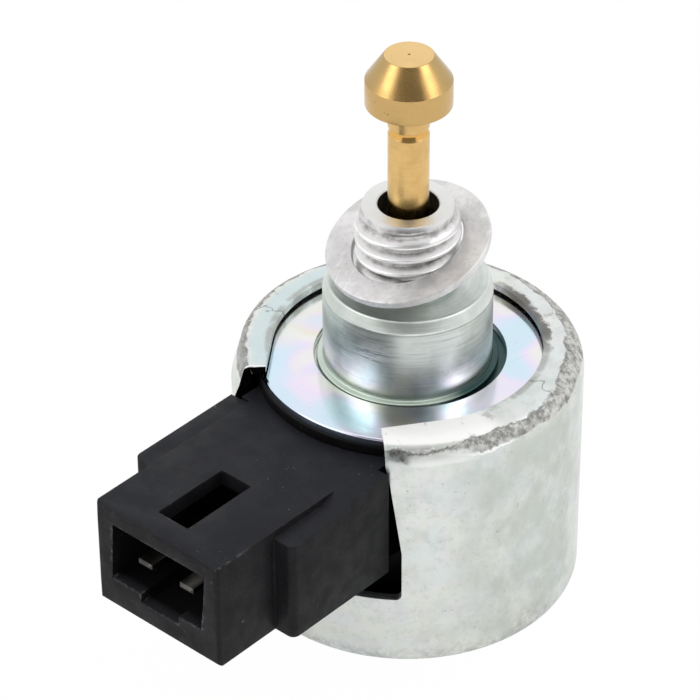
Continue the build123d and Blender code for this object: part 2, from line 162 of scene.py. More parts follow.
class WasherSizes(bpy.types.PropertyGroup):
    """Sizes of the sealing washer."""

    hole: length("Hole", "Radius of the hole", 5.45 * MM)
    narrow: length("Hole narrowing", "How much narrower the squeezed hole is across the slant", 0.25 * MM)
    radius: length("Radius", "Outer radius", 7.9 * MM)
    thickness: length("Thickness", "Thickness", 0.8 * MM)
    edge_round: length("Edge round", "Rounding of the edges", 0.14 * MM)
    height: length("Height", "Height of the washer's middle", 37.17 * MM)
    tilt: turn("Tilt", "Slant at which the washer is jammed", 17.8)
    heading: turn("Heading", "Direction in which its axis leans", 262.6)


class PinSizes(bpy.types.PropertyGroup):
    """Sizes of the brass valve pin."""

    tail: length("Tail", "Radius of the tail in the plunger", 1.5 * MM)
    stem: length("Stem", "Radius of the stem", 1.93 * MM)
    stem_low: length("Stem foot", "Height of the stem's lower end", 25.95 * MM)
    groove: length("Groove", "Radius in the groove", 1.66 * MM)
    groove_slope: length("Groove slope", "Height of the groove's sloped lower side", 0.45 * MM)
    groove_low: length("Groove foot", "Height of the groove's lower side", 49.3 * MM)
    groove_high: length("Groove top", "Height of the groove's upper side", 50.1 * MM)
    head: length("Head", "Radius of the head", 4.04 * MM)
    head_low: length("Head underside", "Height of the head's underside", 52.44 * MM)
    cone_low: length("Cone foot", "Height at which the cone starts", 55.0 * MM)
    tip: length("Tip", "Radius of the flat tip", 2.29 * MM)
    tip_round: length("Tip round", "Rounding of the tip's edge", 0.14 * MM)
    edge_round: length("Edge round", "Rounding of the head's edges", 0.1 * MM)


class ConnectorSizes(bpy.types.PropertyGroup):
    """Sizes of the moulded connector and cover."""

    half_width: length("Half width", "Half the width of the block", 7.65 * MM)
    front: length("Front", "Distance from the axis to the front", -moulding_low.y)
    low: length("Underside", "Height of the block's underside", 11.6 * MM)
    high: length("Top", "Height of the block's top", 22.93 * MM)
    corner: length("Corner", "Rounding of the front corners", 0.45 * MM)
    edge_round: length("Edge round", "Rounding of the other edges", 0.28 * MM)
    wing_half_width: length("Wing half width", "Half the width over the wings", 9.95 * MM)
    wing_front: length("Wing front", "Distance from the axis to the wings' front", 27.0 * MM)
    wing_step: length("Wing step", "Distance from the axis to the wings' high part", 18.907 * MM)
    wing_back: length("Wing back", "Distance from the axis to the wings' back", 13.907 * MM)
    wing_drop: length("Wing drop", "How far the wings' front part lies under the top", 0.8 * MM)
    wing_ramp: length("Wing ramp", "Length of the ramp at the back of the lower part", 1.6 * MM)
    left_drop: length("Left wing drop", "How far the left wing lies under the top", 0.38 * MM)
    wing_round: length("Wing round", "Rounding of the wings' front corners", 0.75 * MM)
    root_half_width: length("Root half width", "Half the width in the cup's window", 8.6 * MM)
    mouth_half_width: length("Mouth half width", "Half the width of the mouth", 5.8 * MM)
    mouth_low: length("Mouth floor", "Height of the mouth's floor", 14.88 * MM)
    mouth_high: length("Mouth roof", "Height of the mouth's roof", 21.23 * MM)
    mouth_depth: length("Mouth depth", "Depth of the mouth", 13.0 * MM)
    mouth_round: length("Mouth round", "Corner radius of the mouth", 0.4 * MM)
    keyway_left: length("Keyway left", "Left side of the keyway in the floor", -2.2 * MM)
    keyway_right: length("Keyway right", "Right side of the keyway in the floor", 2.6 * MM)
    keyway_low: length("Keyway floor", "Height of the keyway's floor", 13.93 * MM)
    latch_left: length("Latch left", "Left side of the latch slot", -2.12 * MM)
    latch_right: length("Latch right", "Right side of the latch slot", 1.58 * MM)
    latch_front: length("Latch front", "Distance from the axis to the latch slot's front", 31.77 * MM)
    latch_back: length("Latch back", "Distance from the axis to the latch slot's back", 23.47 * MM)
    cover: length("Cover", "Outer radius of the cover round the coil", 13.0 * MM)
    cover_bore: length("Cover bore", "Inner radius of the cover", 12.03 * MM)
    cover_low: length("Cover foot", "Height of the cover's underside", moulding_low.z)
    cover_high: length("Cover top", "Height of the cover's flange", moulding_high.z)
    flange: length("Flange", "Radius of the cover's flange", 14.4 * MM)
    flange_hole: length("Flange hole", "Radius of the hole for the neck's flange", 10.6 * MM)
    foot: length("Foot", "Radius of the cover's foot", 15.6 * MM)
    foot_high: length("Foot height", "Height of the foot's top", 3.18 * MM)
    floor_hole: length("Floor hole", "Radius of the hole for the core's foot", 8.3 * MM)
    floor_high: length("Floor height", "Height of the cover's floor", 2.93 * MM)


class BladeSizes(bpy.types.PropertyGroup):
    """Sizes of the terminal blades."""

    place: length("Place", "Distance of a blade from the middle", 2.6 * MM)
    width: length("Width", "Width", 1.7 * MM)
    thickness: length("Thickness", "Thickness", 0.55 * MM)
    height: length("Height", "Height of the blades' middle", 17.5 * MM)
    front: length("Front", "Distance from the axis to the tips", 0.5 * MM - blade_low.y)
    back: length("Back", "Distance from the axis to the blades' back", -blade_high.y)
    chamfer: length("Chamfer", "Chamfer of the tips", 0.2 * MM)


class SpringSizes(bpy.types.PropertyGroup):
    """Sizes of the return spring."""

    wire: length("Wire", "Diameter of the wire", 0.5 * MM)
    radius: length("Radius", "Radius of the coil's middle line", 1.75 * MM)
    low: length("Foot", "Height of the lower end", spring_low.z)
    high: length("Top", "Height of the upper end", spring_high.z)
    turns: IntProperty(name="Turns", description="Number of turns", default=9, min=2, max=30)


class FinishColours(bpy.types.PropertyGroup):
    """Colours of the finishes."""

    zinc: tint("Zinc", "Plating of the cup", (0.785, 0.82, 0.78))
    bright_zinc: tint("Bright zinc", "Plating of the plate", (0.84, 0.86, 0.87))
    neck_zinc: tint("Neck zinc", "Plating of the neck", (0.70, 0.755, 0.725))
    aluminium: tint("Aluminium", "Sealing washer", (0.86, 0.85, 0.85))
    brass: tint("Brass", "Valve pin", (0.80, 0.53, 0.21))
    steel: tint("Steel", "Plunger, core and tube", (0.55, 0.55, 0.54))
    plastic: tint("Black plastic", "Connector and cover", (0.006, 0.006, 0.0072))
    worn_plastic: tint("Worn plastic", "Rubbed edges of the connector", (0.19, 0.19, 0.185))
    rubber: tint("Rubber", "Sealing rings", (0.018, 0.017, 0.016))
    nylon: tint("Nylon", "Bobbin", (0.70, 0.66, 0.55))
    enamel: tint("Enamelled wire", "Winding and lead wires", (0.55, 0.20, 0.06))
    tape: tint("Tape", "Tape round the winding", (0.72, 0.60, 0.20))
    tin: tint("Tin", "Terminal blades", (0.075, 0.072, 0.065))
    tint_share: share("Plating tints", "Strength of the plating's rainbow tints", 0.85)


class StageSizes(bpy.types.PropertyGroup):
    """Camera, floor and lights."""

    eye_x: length("Eye X", "Place of the camera", 0.1)
    floor: length("Floor", "Half the floor's width", 3.0)
    world: share("World light", "Level of the light from all round", 0.85)
    lamp: FloatProperty(name="Lamp", description="Power of each lamp", default=0.75, min=0, unit="POWER")
    lamp_size: length("Lamp size", "Side of each square lamp", 0.34)
    lamp_distance: length("Lamp distance", "Distance from the object to a lamp", 0.75)
    card: length("Card", "Width of the dark card behind the camera", 0.8)


# ---- meshes


def round_corner(bm, vert, radius, segments):
    """Rounds one corner of a chain of edges."""
    first, second = (edge.other_vert(vert).co - vert.co for edge in vert.link_edges)
    bend = pi - first.angle(second)
    bmesh.ops.bevel(
        bm,
        geom=[vert],
        offset=radius * tan(bend / 2),
        offset_type="OFFSET",
        segments=segments,
        profile=0.5,
        affect="VERTICES",
        material=-1,
    )


def outline(bm, points, closed=False, segments=4):
    """A chain of edges through (radius, height) points, where a third number rounds a corner."""
    verts = [bm.verts.new((point[0], 0, point[1])) for point in points]
    ends = verts[1:] + verts[:1] if closed else verts[1:]
    for start, end in zip(verts, ends):
        bm.edges.new((start, end))
    for vert, point in zip(verts, points):
        if len(point) > 2:
            round_corner(bm, vert, point[2], segments)


def spin_round(bm, geometry, steps, angle=2 * pi, rise=0.0, merge=True):
    """Spins edges about the axis."""
    return bmesh.ops.spin(
        bm,
        geom=geometry,
        cent=(0, 0, 0),
        axis=(0, 0, 1),
        dvec=(0, 0, rise),
        angle=angle,
        steps=steps,
        use_merge=merge,
        use_duplicate=False,
    )


def close_up(bm):
    """Merges doubled points and turns the faces outwards."""
    bmesh.ops.remove_doubles(bm, verts=bm.verts, dist=0.0002 * MM)
    bmesh.ops.recalc_face_normals(bm, faces=bm.faces)


def turned(points, closed=False, steps=128, segments=4):
    """A turned solid from its section."""
    bm = bmesh.new()
    outline(bm, points, closed, segments)
    spin_round(bm, bm.verts[:] + bm.edges[:], steps)
    close_up(bm)
    return bm


def make_object(name, bm):
    """An object from a finished mesh."""
    mesh = bpy.data.meshes.new(name)
    bm.to_mesh(mesh)
    bm.free()
    made = bpy.data.objects.new(name, mesh)
    bpy.context.scene.collection.objects.link(made)
    return made


def settle(made):
    """Puts an object's modifiers into its mesh."""
    bpy.context.view_layer.update()
    graph = bpy.context.evaluated_depsgraph_get()
    mesh = bpy.data.meshes.new_from_object(made.evaluated_get(graph))
    old = made.data
    made.modifiers.clear()
    made.data = mesh
    bpy.data.meshes.remove(old)
    mesh.name = made.name


def dress(made, body, slot, nodes, sharp=30):
    """Smooths a piece, gives it its finish, and fixes it to its body in place of its nodes."""
    made.data.shade_smooth()
    made.data.set_sharp_from_angle(angle=radians(sharp))
    made.data.materials.clear()
    made.data.materials.append(finish_of(slot))
    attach(made, body)
    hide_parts(*nodes)


def finish_of(slot):
    """The finish made for a material slot, beside the packed material of the slot's own name."""
    name = slot + "_finish"
    if name not in bpy.data.materials:
        raise RuntimeError(f"{name} is missing: make the finishes first")
    return bpy.data.materials[name]


def angle_of(point):
    """Angle round the axis, nought at the connector and growing towards +X."""
    return atan2(point.x, -point.y)


def place_at(vert, angle, radius, height):
    """Moves a point to an angle, a radius and a height."""
    vert.co = (radius * sin(angle), -radius * cos(angle), height)


def smooth_step(value):
    """Eases from nought to one."""
    value = min(max(value, 0.0), 1.0)
    return value * value * (3 - 2 * value)


# ---- the cup


def rim_cut_angle(cup, radius):
    """Half angle of the rim's slanted cut at a radius."""
    return cup.end_slant - asin(cup.end_reach * sin(cup.end_slant) / radius)


def window_side(cup, radius, height):
    """Half angle of the window at a point of the wall or rim."""
    bend_start = cup.rim_top - cup.rim_bend
    if height <= cup.wide_top:
        return cup.wide_half
    if height < bend_start - 0.001 * MM:
        part = (height - cup.wide_top) / (bend_start - cup.wide_top)
        wide, narrow = tan(cup.wide_half), tan(cup.narrow_half)
        return atan2(wide + part**1.6 * (narrow - wide), 1)
    return rim_cut_angle(cup, radius)


def lip_edge(cup, angle):
    """Radius of the lip's inner edge, which runs straight beside the window."""
    if angle >= cup.end_run:
        return cup.lip_radius
    return cup.lip_radius / cos(cup.end_run - angle)


def lean_share(angle):
    """How much of the left wall's lean a place on the rim has."""
    turned_left = -angle
    if turned_left < 0:
        return 0.0
    return 1 - smooth_step((turned_left - radians(75)) / radians(45))


def lean_section(cup, part):
    """The leaning rim's section: a straight wall, a tight bend and a flat, by the share of the plain bend."""
    bend_start = cup.rim_top - cup.rim_bend
    slope = cup.lean / (cup.rim_top - cup.lean_bend - cup.lean_from)
    top_of_wall = cup.rim_top - cup.lean_bend
    start = Vector((cup.radius - slope * (bend_start - cup.lean_from), bend_start))
    end = Vector((cup.radius - cup.lean, top_of_wall))
    if part <= 0.25:
        return start.lerp(end, part / 0.25)
    if part <= 0.875:
        bend = (part - 0.25) / 0.625 * pi / 2
        centre = Vector((end.x - cup.lean_bend, top_of_wall))
        return centre + cup.lean_bend * Vector((cos(bend), sin(bend)))
    inner = Vector((end.x - cup.lean_bend, cup.rim_top))
    flat_end = Vector((cup.radius - cup.rim_bend, cup.rim_top))
    return inner.lerp(flat_end, (part - 0.875) / 0.125)


def cup_surface(cup):
    """The cup's outside: a full lower wall, and an upper wall and rim that leave the window open."""
    bm = bmesh.new()
    back_steps, front_half_steps, corner_steps = 120, 18, 6
    bend_start = cup.rim_top - cup.rim_bend
    wall_low = cup.sill - 2 * MM
    lower = [
        (0, 0),
        (0.5 * cup.radius, 0),
        (cup.radius, 0, cup.bottom_bend),
        (cup.radius, wall_low),
    ]
    upper = [
        (cup.radius, wall_low),
        (cup.radius, cup.sill + cup.sill_corner),
        (cup.radius, cup.wide_top),
        (cup.radius, cup.lean_from),
        (cup.radius, bend_start),
        (cup.radius, cup.rim_top, cup.rim_bend),
        (cup.radius - cup.rim_bend - 0.5 * MM, cup.rim_top),
        (0.5 * (cup.radius - cup.rim_bend + cup.lip_radius), cup.rim_top),
        (cup.lip_radius, cup.rim_top),
    ]
    sill = [(cup.radius, wall_low), (cup.radius, cup.sill)]
    front = 2 * cup.wide_half
    back = 2 * pi - front
    for points, start, angle, steps in (
        (lower, -cup.wide_half, front, 2 * front_half_steps),
        (sill, -cup.wide_half, front, 2 * front_half_steps),
        (lower, cup.wide_half, back, back_steps),
        (upper, cup.wide_half, back, back_steps),
    ):
        known = set(bm.verts)
        known_edges = set(bm.edges)
        outline(bm, points, segments=8)
        fresh = [v for v in bm.verts if v not in known]
        for vert in fresh:
            place_at(vert, start, vert.co.x, vert.co.z)
        edges = [e for e in bm.edges if e not in known_edges]
        spin_round(bm, fresh + edges, steps, angle=angle, merge=False)
        if points is sill:
            shape_sill(cup, [v for v in bm.verts if v not in known], front_half_steps, corner_steps)
        if points is lower and angle == front:
            spread_sill(cup, [v for v in bm.verts if v not in known], front_half_steps, corner_steps)
        if points is upper:
            shape_rim(cup, [v for v in bm.verts if v not in known])
    bmesh.ops.remove_doubles(bm, verts=bm.verts, dist=0.001 * MM)
    bmesh.ops.recalc_face_normals(bm, faces=bm.faces)
    return bm


def sill_place(cup, angle, half_steps, corner_steps):
    """New angle and rise of a column under the window, spaced so that the sill's corner is an arc."""
    step = cup.wide_half / half_steps
    column = round(abs(angle) / step)
    half = cup.radius * cup.wide_half
    plain = half_steps - corner_steps
    if column <= plain:
        along, rise = column / plain * (half - cup.sill_corner), 0.0
    else:
        bend = (column - plain) / corner_steps * pi / 2
        along = half - cup.sill_corner * (1 - sin(bend))
        rise = cup.sill_corner * (1 - cos(bend))
    return (along / cup.radius) * (1 if angle > 0 else -1), rise


def spread_sill(cup, verts, half_steps, corner_steps):
    """Spaces the columns of the lower wall under the window as the sill's are."""
    for vert in verts:
        radius = hypot(vert.co.x, vert.co.y)
        angle, _ = sill_place(cup, angle_of(vert.co), half_steps, corner_steps)
        place_at(vert, angle, radius, vert.co.z)


def shape_sill(cup, verts, half_steps, corner_steps):
    """Raises the sill's ends into its corners."""
    for vert in verts:
        angle, rise = sill_place(cup, angle_of(vert.co), half_steps, corner_steps)
        high = vert.co.z > cup.sill - MM
        place_at(vert, angle, cup.radius, vert.co.z + (rise if high else 0.0))


def shape_rim(cup, verts):
    """Moves the upper wall's columns to the window's sides, and shapes the rim's ends and lean."""
    flat = cup.radius - cup.rim_bend
    bend_start = cup.rim_top - cup.rim_bend
    for vert in verts:
        side = 1 if vert.co.x >= 0 else -1
        from_back = pi - abs(angle_of(vert.co))
        radius, height = hypot(vert.co.x, vert.co.y), vert.co.z
        part = max(0.0, (flat - radius) / (flat - cup.lip_radius))
        for _ in range(6):
            spread = (pi - window_side(cup, radius, height)) / (pi - cup.wide_half)
            angle = pi - from_back * spread
            if part > 0:
                radius = flat + part * (lip_edge(cup, angle) - flat)
        lean = lean_share(side * angle)
        if lean > 0 and part == 0 and height >= bend_start - 0.001 * MM:
            bend = atan2(height - bend_start, radius - flat) / (pi / 2)
            leaning = lean_section(cup, bend)
            radius += lean * (leaning.x - radius)
            height += lean * (leaning.y - height)
        place_at(vert, side * angle, radius, height)


class SOLENOID_OT_cup(bpy.types.Operator):
    """Draws the cup and rolls its rim in over the plate"""

    bl_idname = "solenoid.cup"
    bl_label = "Drawn Cup"

    def execute(self, context):
        cup = context.scene.solenoid_cup
        made = make_object("drawn_cup", cup_surface(cup))
        thick = made.vertex_groups.new(name="Thick sheet")
        flat = cup.radius - cup.rim_bend
        for vert in made.data.vertices:
            radius = hypot(vert.co.x, vert.co.y)
            rolled = vert.co.z > cup.rim_top - cup.rim_bend
            part = smooth_step((cup.radius - radius) / (cup.radius - flat)) if rolled else 0.0
            thick.add([vert.index], 1 - part * (1 - cup.lip_sheet / cup.sheet), "REPLACE")
        wall = made.modifiers.new("Sheet", "SOLIDIFY")
        wall.vertex_group = thick.name
        wall.thickness = cup.sheet
        wall.offset = -1
        wall.use_even_offset = True
        edges = made.modifiers.new("Cut edges", "BEVEL")
        edges.limit_method = "ANGLE"
        edges.angle_limit = radians(60)
        edges.width = cup.edge_round
        edges.segments = 3
        settle(made)
        dress(made, HOUSING, "zinc_cup", ["housing_cup"])
        return {"FINISHED"}


# ---- plate, neck, washer and pin


class SOLENOID_OT_plate(bpy.types.Operator):
    """Blanks the cover plate, with rounded edges, a little off the axis"""

    bl_idname = "solenoid.plate"
    bl_label = "Cover Plate"

    def execute(self, context):
        plate = context.scene.solenoid_plate
        bm = turned(
            [
                (plate.hole, plate.low, plate.hole_round),
                (plate.radius, plate.low, plate.hole_round),
                (plate.radius, plate.high, plate.edge_round),
                (plate.hole, plate.high, plate.hole_round),
            ],
            closed=True,
            steps=160,
        )
        bmesh.ops.translate(bm, vec=(plate.shift_x, plate.shift_y, 0), verts=bm.verts)
        dress(make_object("cover_plate", bm), HOUSING, "zinc_plate", ["top_plate"])
        return {"FINISHED"}


def add_thread(bm, neck, steps=96):
    """A helical ridge from the relief to the neck's end, cut by the end's chamfer."""
    flank = (neck.thread - neck.root) * tan(radians(30))
    crest = neck.pitch / 5
    low = neck.shoulder + neck.relief
    start = low - 2 * neck.pitch + neck.pitch * neck.start / (2 * pi)
    turns = int((neck.top - low) / neck.pitch) + 4
    root_run = neck.pitch - 2 * flank - crest
    rounding = 0.15 * MM
    outline(
        bm,
        [
            (neck.root, start),
            (neck.root, start + root_run, rounding),
            (neck.thread, start + root_run + flank, rounding),
            (neck.thread, start + root_run + flank + crest, rounding),
            (neck.root, start + neck.pitch),
        ],
        segments=3,
    )
    spin_round(
        bm,
        bm.verts[:] + bm.edges[:],
        steps * turns,
        angle=2 * pi * turns,
        rise=neck.pitch / steps,
        merge=False,
    )
    bmesh.ops.remove_doubles(bm, verts=bm.verts, dist=0.005 * MM)
    for vert in bm.verts:
        part = min(max((vert.co.z - neck.top + neck.lead) / neck.lead, 0.0), 1.0)
        most = neck.thread - neck.chamfer * part
        radius = hypot(vert.co.x, vert.co.y)
        if radius > most:
            vert.co.x *= most / radius
            vert.co.y *= most / radius
    for height, side in ((neck.top, 1), (low, -1)):
        bmesh.ops.bisect_plane(
            bm,
            geom=bm.verts[:] + bm.edges[:] + bm.faces[:],
            dist=0.0005 * MM,
            plane_co=(0, 0, height),
            plane_no=(0, 0, side),
            clear_outer=True,
        )


def open_loop(bm, low, high):
    """Open edges between two heights."""
    return [e for e in bm.edges if e.is_boundary and all(low < v.co.z < high for v in e.verts)]


class SOLENOID_OT_neck(bpy.types.Operator):
    """Turns the neck and cuts its thread"""

    bl_idname = "solenoid.neck"
    bl_label = "Threaded Neck"

    def execute(self, context):
        neck = context.scene.solenoid_neck
        bm = bmesh.new()
        add_thread(bm, neck)
        threaded = set(bm.verts)
        threaded_edges = set(bm.edges)
        low = neck.shoulder + neck.relief
        plate = context.scene.solenoid_plate
        outline(
            bm,
            [
                (neck.root, low - 0.2 * MM),
                (neck.root, neck.shoulder, 0.25 * MM),
                (neck.shoulder_radius, neck.shoulder, neck.shoulder_round),
                (neck.barrel, neck.shoulder - neck.taper, neck.barrel_round),
                (neck.barrel, neck.collar_top, neck.collar_fillet),
                (neck.collar, neck.collar_top, 0.14 * MM),
                (neck.collar, plate.low),
                (neck.flange, plate.low, 0.1 * MM),
                (neck.flange, neck_low.z, 0.1 * MM),
                (5.95 * MM, neck_low.z),
                (5.95 * MM, neck_low.z + 1.05 * MM),
                (4.88 * MM, neck_low.z + 1.05 * MM),
                (4.88 * MM, 26.05 * MM),
                (neck.bore, 26.05 * MM),
                (neck.bore, neck.top - 0.1 * MM),
                (neck.bore + 0.1 * MM, neck.top),
            ],
        )
        fresh = [v for v in bm.verts if v not in threaded]
        edges = [e for e in bm.edges if e not in threaded_edges]
        spin_round(bm, fresh + edges, 128)
        bmesh.ops.remove_doubles(bm, verts=[v for v in bm.verts if v not in threaded], dist=0.0002 * MM)
        near = 0.01 * MM
        bmesh.ops.bridge_loops(bm, edges=open_loop(bm, neck.top - near, neck.top + near))
        bmesh.ops.bridge_loops(bm, edges=open_loop(bm, low - 0.3 * MM, low + near))
        bmesh.ops.recalc_face_normals(bm, faces=bm.faces)
        if any(e.is_boundary for e in bm.edges):
            raise RuntimeError("the neck's thread didn't join its end or its relief")
        dress(make_object("turned_neck", bm), HOUSING, "zinc_neck", ["threaded_neck"], sharp=40)
        return {"FINISHED"}


class SOLENOID_OT_washer(bpy.types.Operator):
    """Makes the sealing washer and jams it at a slant on the thread"""

    bl_idname = "solenoid.washer"
    bl_label = "Sealing Washer"

    def execute(self, context):
        washer = context.scene.solenoid_washer
        half = washer.thickness / 2
        bm = turned(
            [
                (washer.hole, -half, washer.edge_round),
                (washer.radius, -half, washer.edge_round),
                (washer.radius, half, washer.edge_round),
                (washer.hole, half, washer.edge_round),
            ],
            closed=True,
            steps=144,
        )
        ring = [v for v in bm.verts if hypot(v.co.x, v.co.y) < washer.hole + 2 * washer.edge_round]
        bmesh.ops.scale(bm, vec=(1, 1 - washer.narrow / washer.hole, 1), verts=ring)
        slant = (
            Matrix.Translation((0, 0, washer.height))
            @ Matrix.Rotation(washer.heading, 4, "Z")
            @ Matrix.Rotation(washer.tilt, 4, "Y")
        )
        bmesh.ops.transform(bm, matrix=slant, verts=bm.verts)
        dress(make_object("slanted_washer", bm), HOUSING, "soft_aluminium", ["sealing_washer"])
        return {"FINISHED"}


class SOLENOID_OT_pin(bpy.types.Operator):
    """Turns the brass valve pin"""

    bl_idname = "solenoid.pin"
    bl_label = "Valve Pin"

    def execute(self, context):
        pin = context.scene.solenoid_pin
        bm = turned(
            [
                (0, pin_low.z),
                (pin.tail, pin_low.z, 0.15 * MM),
                (pin.tail, pin.stem_low, 0.05 * MM),
                (pin.stem, pin.stem_low, 0.1 * MM),
                (pin.stem, pin.groove_low, 0.04 * MM),
                (pin.groove, pin.groove_low + pin.groove_slope, 0.2 * MM),
                (pin.groove, pin.groove_high, 0.05 * MM),
                (pin.stem, pin.groove_high, 0.04 * MM),
                (pin.stem, pin.head_low, 0.08 * MM),
                (pin.head, pin.head_low, pin.edge_round),
                (pin.head, pin.cone_low, pin.edge_round),
                (pin.tip, pin_high.z, pin.tip_round),
                (0.12 * MM, pin_high.z),
                (0, pin_high.z - 0.12 * MM),
            ],
            steps=128,
        )
        dress(make_object("brass_pin", bm), PLUNGER_UNIT, "turned_brass", ["valve_pin"])
        return {"FINISHED"}


# ---- connector and blades


def cut_faces(bm, faces, cuts):
    """Cuts flat faces by planes and returns their pieces."""
    faces = set(faces)
    for place, normal in cuts:
        edges = {e for f in faces for e in f.edges}
        verts = {v for f in faces for v in f.verts}
        made = bmesh.ops.bisect_plane(
            bm,
            geom=list(faces) + list(edges) + list(verts),
            dist=0.0005 * MM,
            plane_co=place,
            plane_no=normal,
        )
        faces |= {g for g in made["geom"] if isinstance(g, bmesh.types.BMFace)}
        faces = {f for f in faces if f.is_valid}
    return faces


def push_out(bm, faces, move):
    """Extrudes faces by a move and returns the moved faces."""
    made = bmesh.ops.extrude_face_region(bm, geom=list(faces))
    verts = [g for g in made["geom"] if isinstance(g, bmesh.types.BMVert)]
    bmesh.ops.translate(bm, vec=move, verts=verts)
    bmesh.ops.delete(bm, geom=[f for f in faces if f.is_valid], context="FACES")
    return [g for g in made["geom"] if isinstance(g, bmesh.types.BMFace)]


def soften(bm, edges, offset, segments):
    """Rounds edges."""
    bmesh.ops.bevel(
        bm,
        geom=list(edges),
        offset=offset,
        offset_type="OFFSET",
        segments=segments,
        profile=0.5,
        affect="EDGES",
        clamp_overlap=True,
        material=-1,
    )


def flat_faces(bm, axis, place):
    """Faces square to an axis at a place along it."""
    return {
        f
        for f in bm.faces
        if abs(abs(f.normal[axis]) - 1) < 1e-4 and abs(f.calc_center_median()[axis] - place) < 0.002 * MM
    }


def upright_edges(bm, x, y):
    """Upright edges at a place in the plan, on both sides."""
    return [
        e
        for e in bm.edges
        if all(abs(abs(v.co.x) - x) < 0.002 * MM and abs(v.co.y - y) < 0.002 * MM for v in e.verts)
    ]


def over_left_wing(face, side, con):
    """Tells whether a face of the top lies over the left wing."""
    middle = face.calc_center_median()
    return middle.x < side and middle.y < -con.wing_back


def connector_block(con):
    """The block, its wings and its root, with the mouth, the keyway and the latch slot."""
    bm = bmesh.new()
    right = [
        (con.half_width, -con.front),
        (con.half_width, -con.wing_front),
        (con.wing_half_width, -con.wing_front),
        (con.wing_half_width, -con.wing_back),
        (con.root_half_width, -con.wing_back),
        (con.root_half_width, 0),
    ]
    plan = right + [(-x, y) for x, y in reversed(right)]
    base = bm.faces.new([bm.verts.new((x, y, con.low)) for x, y in plan])
    base.normal_update()
    made = bmesh.ops.extrude_face_region(bm, geom=[base], use_keep_orig=True)
    raised = [g for g in made["geom"] if isinstance(g, bmesh.types.BMVert)]
    wing_high = con.high - con.wing_drop
    bmesh.ops.translate(bm, vec=(0, 0, wing_high - con.low), verts=raised)
    bmesh.ops.recalc_face_normals(bm, faces=bm.faces)
    # the block's top and the wings' high part
    top = cut_faces(
        bm,
        flat_faces(bm, 2, wing_high),
        (
            ((con.half_width, 0, 0), (1, 0, 0)),
            ((-con.half_width, 0, 0), (1, 0, 0)),
            ((0, -con.wing_step, 0), (0, 1, 0)),
            ((0, -con.wing_back, 0), (0, 1, 0)),
        ),
    )
    centres = {f: f.calc_center_median() for f in top}
    high = [f for f in top if centres[f].y > -con.wing_step or centres[f].x < con.half_width]
    raised = push_out(bm, high, (0, 0, con.wing_drop - con.left_drop))
    left_wing_side = -0.5 * (con.half_width + con.root_half_width)
    block = [f for f in raised if not over_left_wing(f, left_wing_side, con)]
    push_out(bm, block, (0, 0, con.left_drop))
    for vert in bm.verts:
        at_step = vert.co.x > con.half_width - 0.002 * MM and abs(vert.co.y + con.wing_step) < 0.002 * MM
        if at_step and vert.co.z > wing_high - 0.002 * MM:
            vert.co.y -= con.wing_ramp * (con.high - vert.co.z) / con.wing_drop
    # mouth and keyway
    bm.normal_update()
    front = cut_faces(
        bm,
        flat_faces(bm, 1, -con.front),
        (
            ((con.mouth_half_width, 0, 0), (1, 0, 0)),
            ((-con.mouth_half_width, 0, 0), (1, 0, 0)),
            ((con.keyway_left, 0, 0), (1, 0, 0)),
            ((con.keyway_right, 0, 0), (1, 0, 0)),
            ((0, 0, con.mouth_low), (0, 0, 1)),
            ((0, 0, con.mouth_high), (0, 0, 1)),
            ((0, 0, con.keyway_low), (0, 0, 1)),
        ),
    )
    opening = []
    for face in front:
        middle = face.calc_center_median()
        in_mouth = abs(middle.x) < con.mouth_half_width and con.mouth_low < middle.z < con.mouth_high
        in_keyway = con.keyway_left < middle.x < con.keyway_right and con.keyway_low < middle.z < con.mouth_low
        if in_mouth or in_keyway:
            opening.append(face)
    push_out(bm, opening, (0, con.mouth_depth, 0))
    # latch slot through the mouth's roof
    bm.normal_update()
    slot_cuts = (
        ((con.latch_left, 0, 0), (1, 0, 0)),
        ((con.latch_right, 0, 0), (1, 0, 0)),
        ((0, -con.latch_front, 0), (0, 1, 0)),
        ((0, -con.latch_back, 0), (0, 1, 0)),
    )
    walls = []
    for height in (con.high, con.mouth_high):
        cut = cut_faces(bm, flat_faces(bm, 2, height), slot_cuts)
        middles = {f: f.calc_center_median() for f in cut}
        walls += [
            f
            for f in cut
            if con.latch_left < middles[f].x < con.latch_right
            and -con.latch_front < middles[f].y < -con.latch_back
        ]
    bmesh.ops.delete(bm, geom=walls, context="FACES")
    bmesh.ops.bridge_loops(bm, edges=[e for e in bm.edges if e.is_boundary])
    bmesh.ops.recalc_face_normals(bm, faces=bm.faces)
    bmesh.ops.dissolve_limit(bm, angle_limit=radians(1), verts=bm.verts, edges=bm.edges)
    # rounded corners and edges
    soften(bm, upright_edges(bm, con.half_width, -con.front), con.corner, 5)
    soften(bm, upright_edges(bm, con.wing_half_width, -con.wing_front), con.wing_round, 6)
    inner = [
        e
        for e in bm.edges
        if all(
            abs(abs(v.co.x) - con.mouth_half_width) < 0.002 * MM
            and min(abs(v.co.z - con.mouth_low), abs(v.co.z - con.mouth_high)) < 0.002 * MM
            for v in e.verts
        )
    ]
    soften(bm, inner, con.mouth_round, 4)
    sharp = [e for e in bm.edges if e.is_manifold and e.calc_face_angle(0) > radians(50)]
    soften(bm, sharp, con.edge_round, 3)
    bmesh.ops.recalc_face_normals(bm, faces=bm.faces)
    return bm


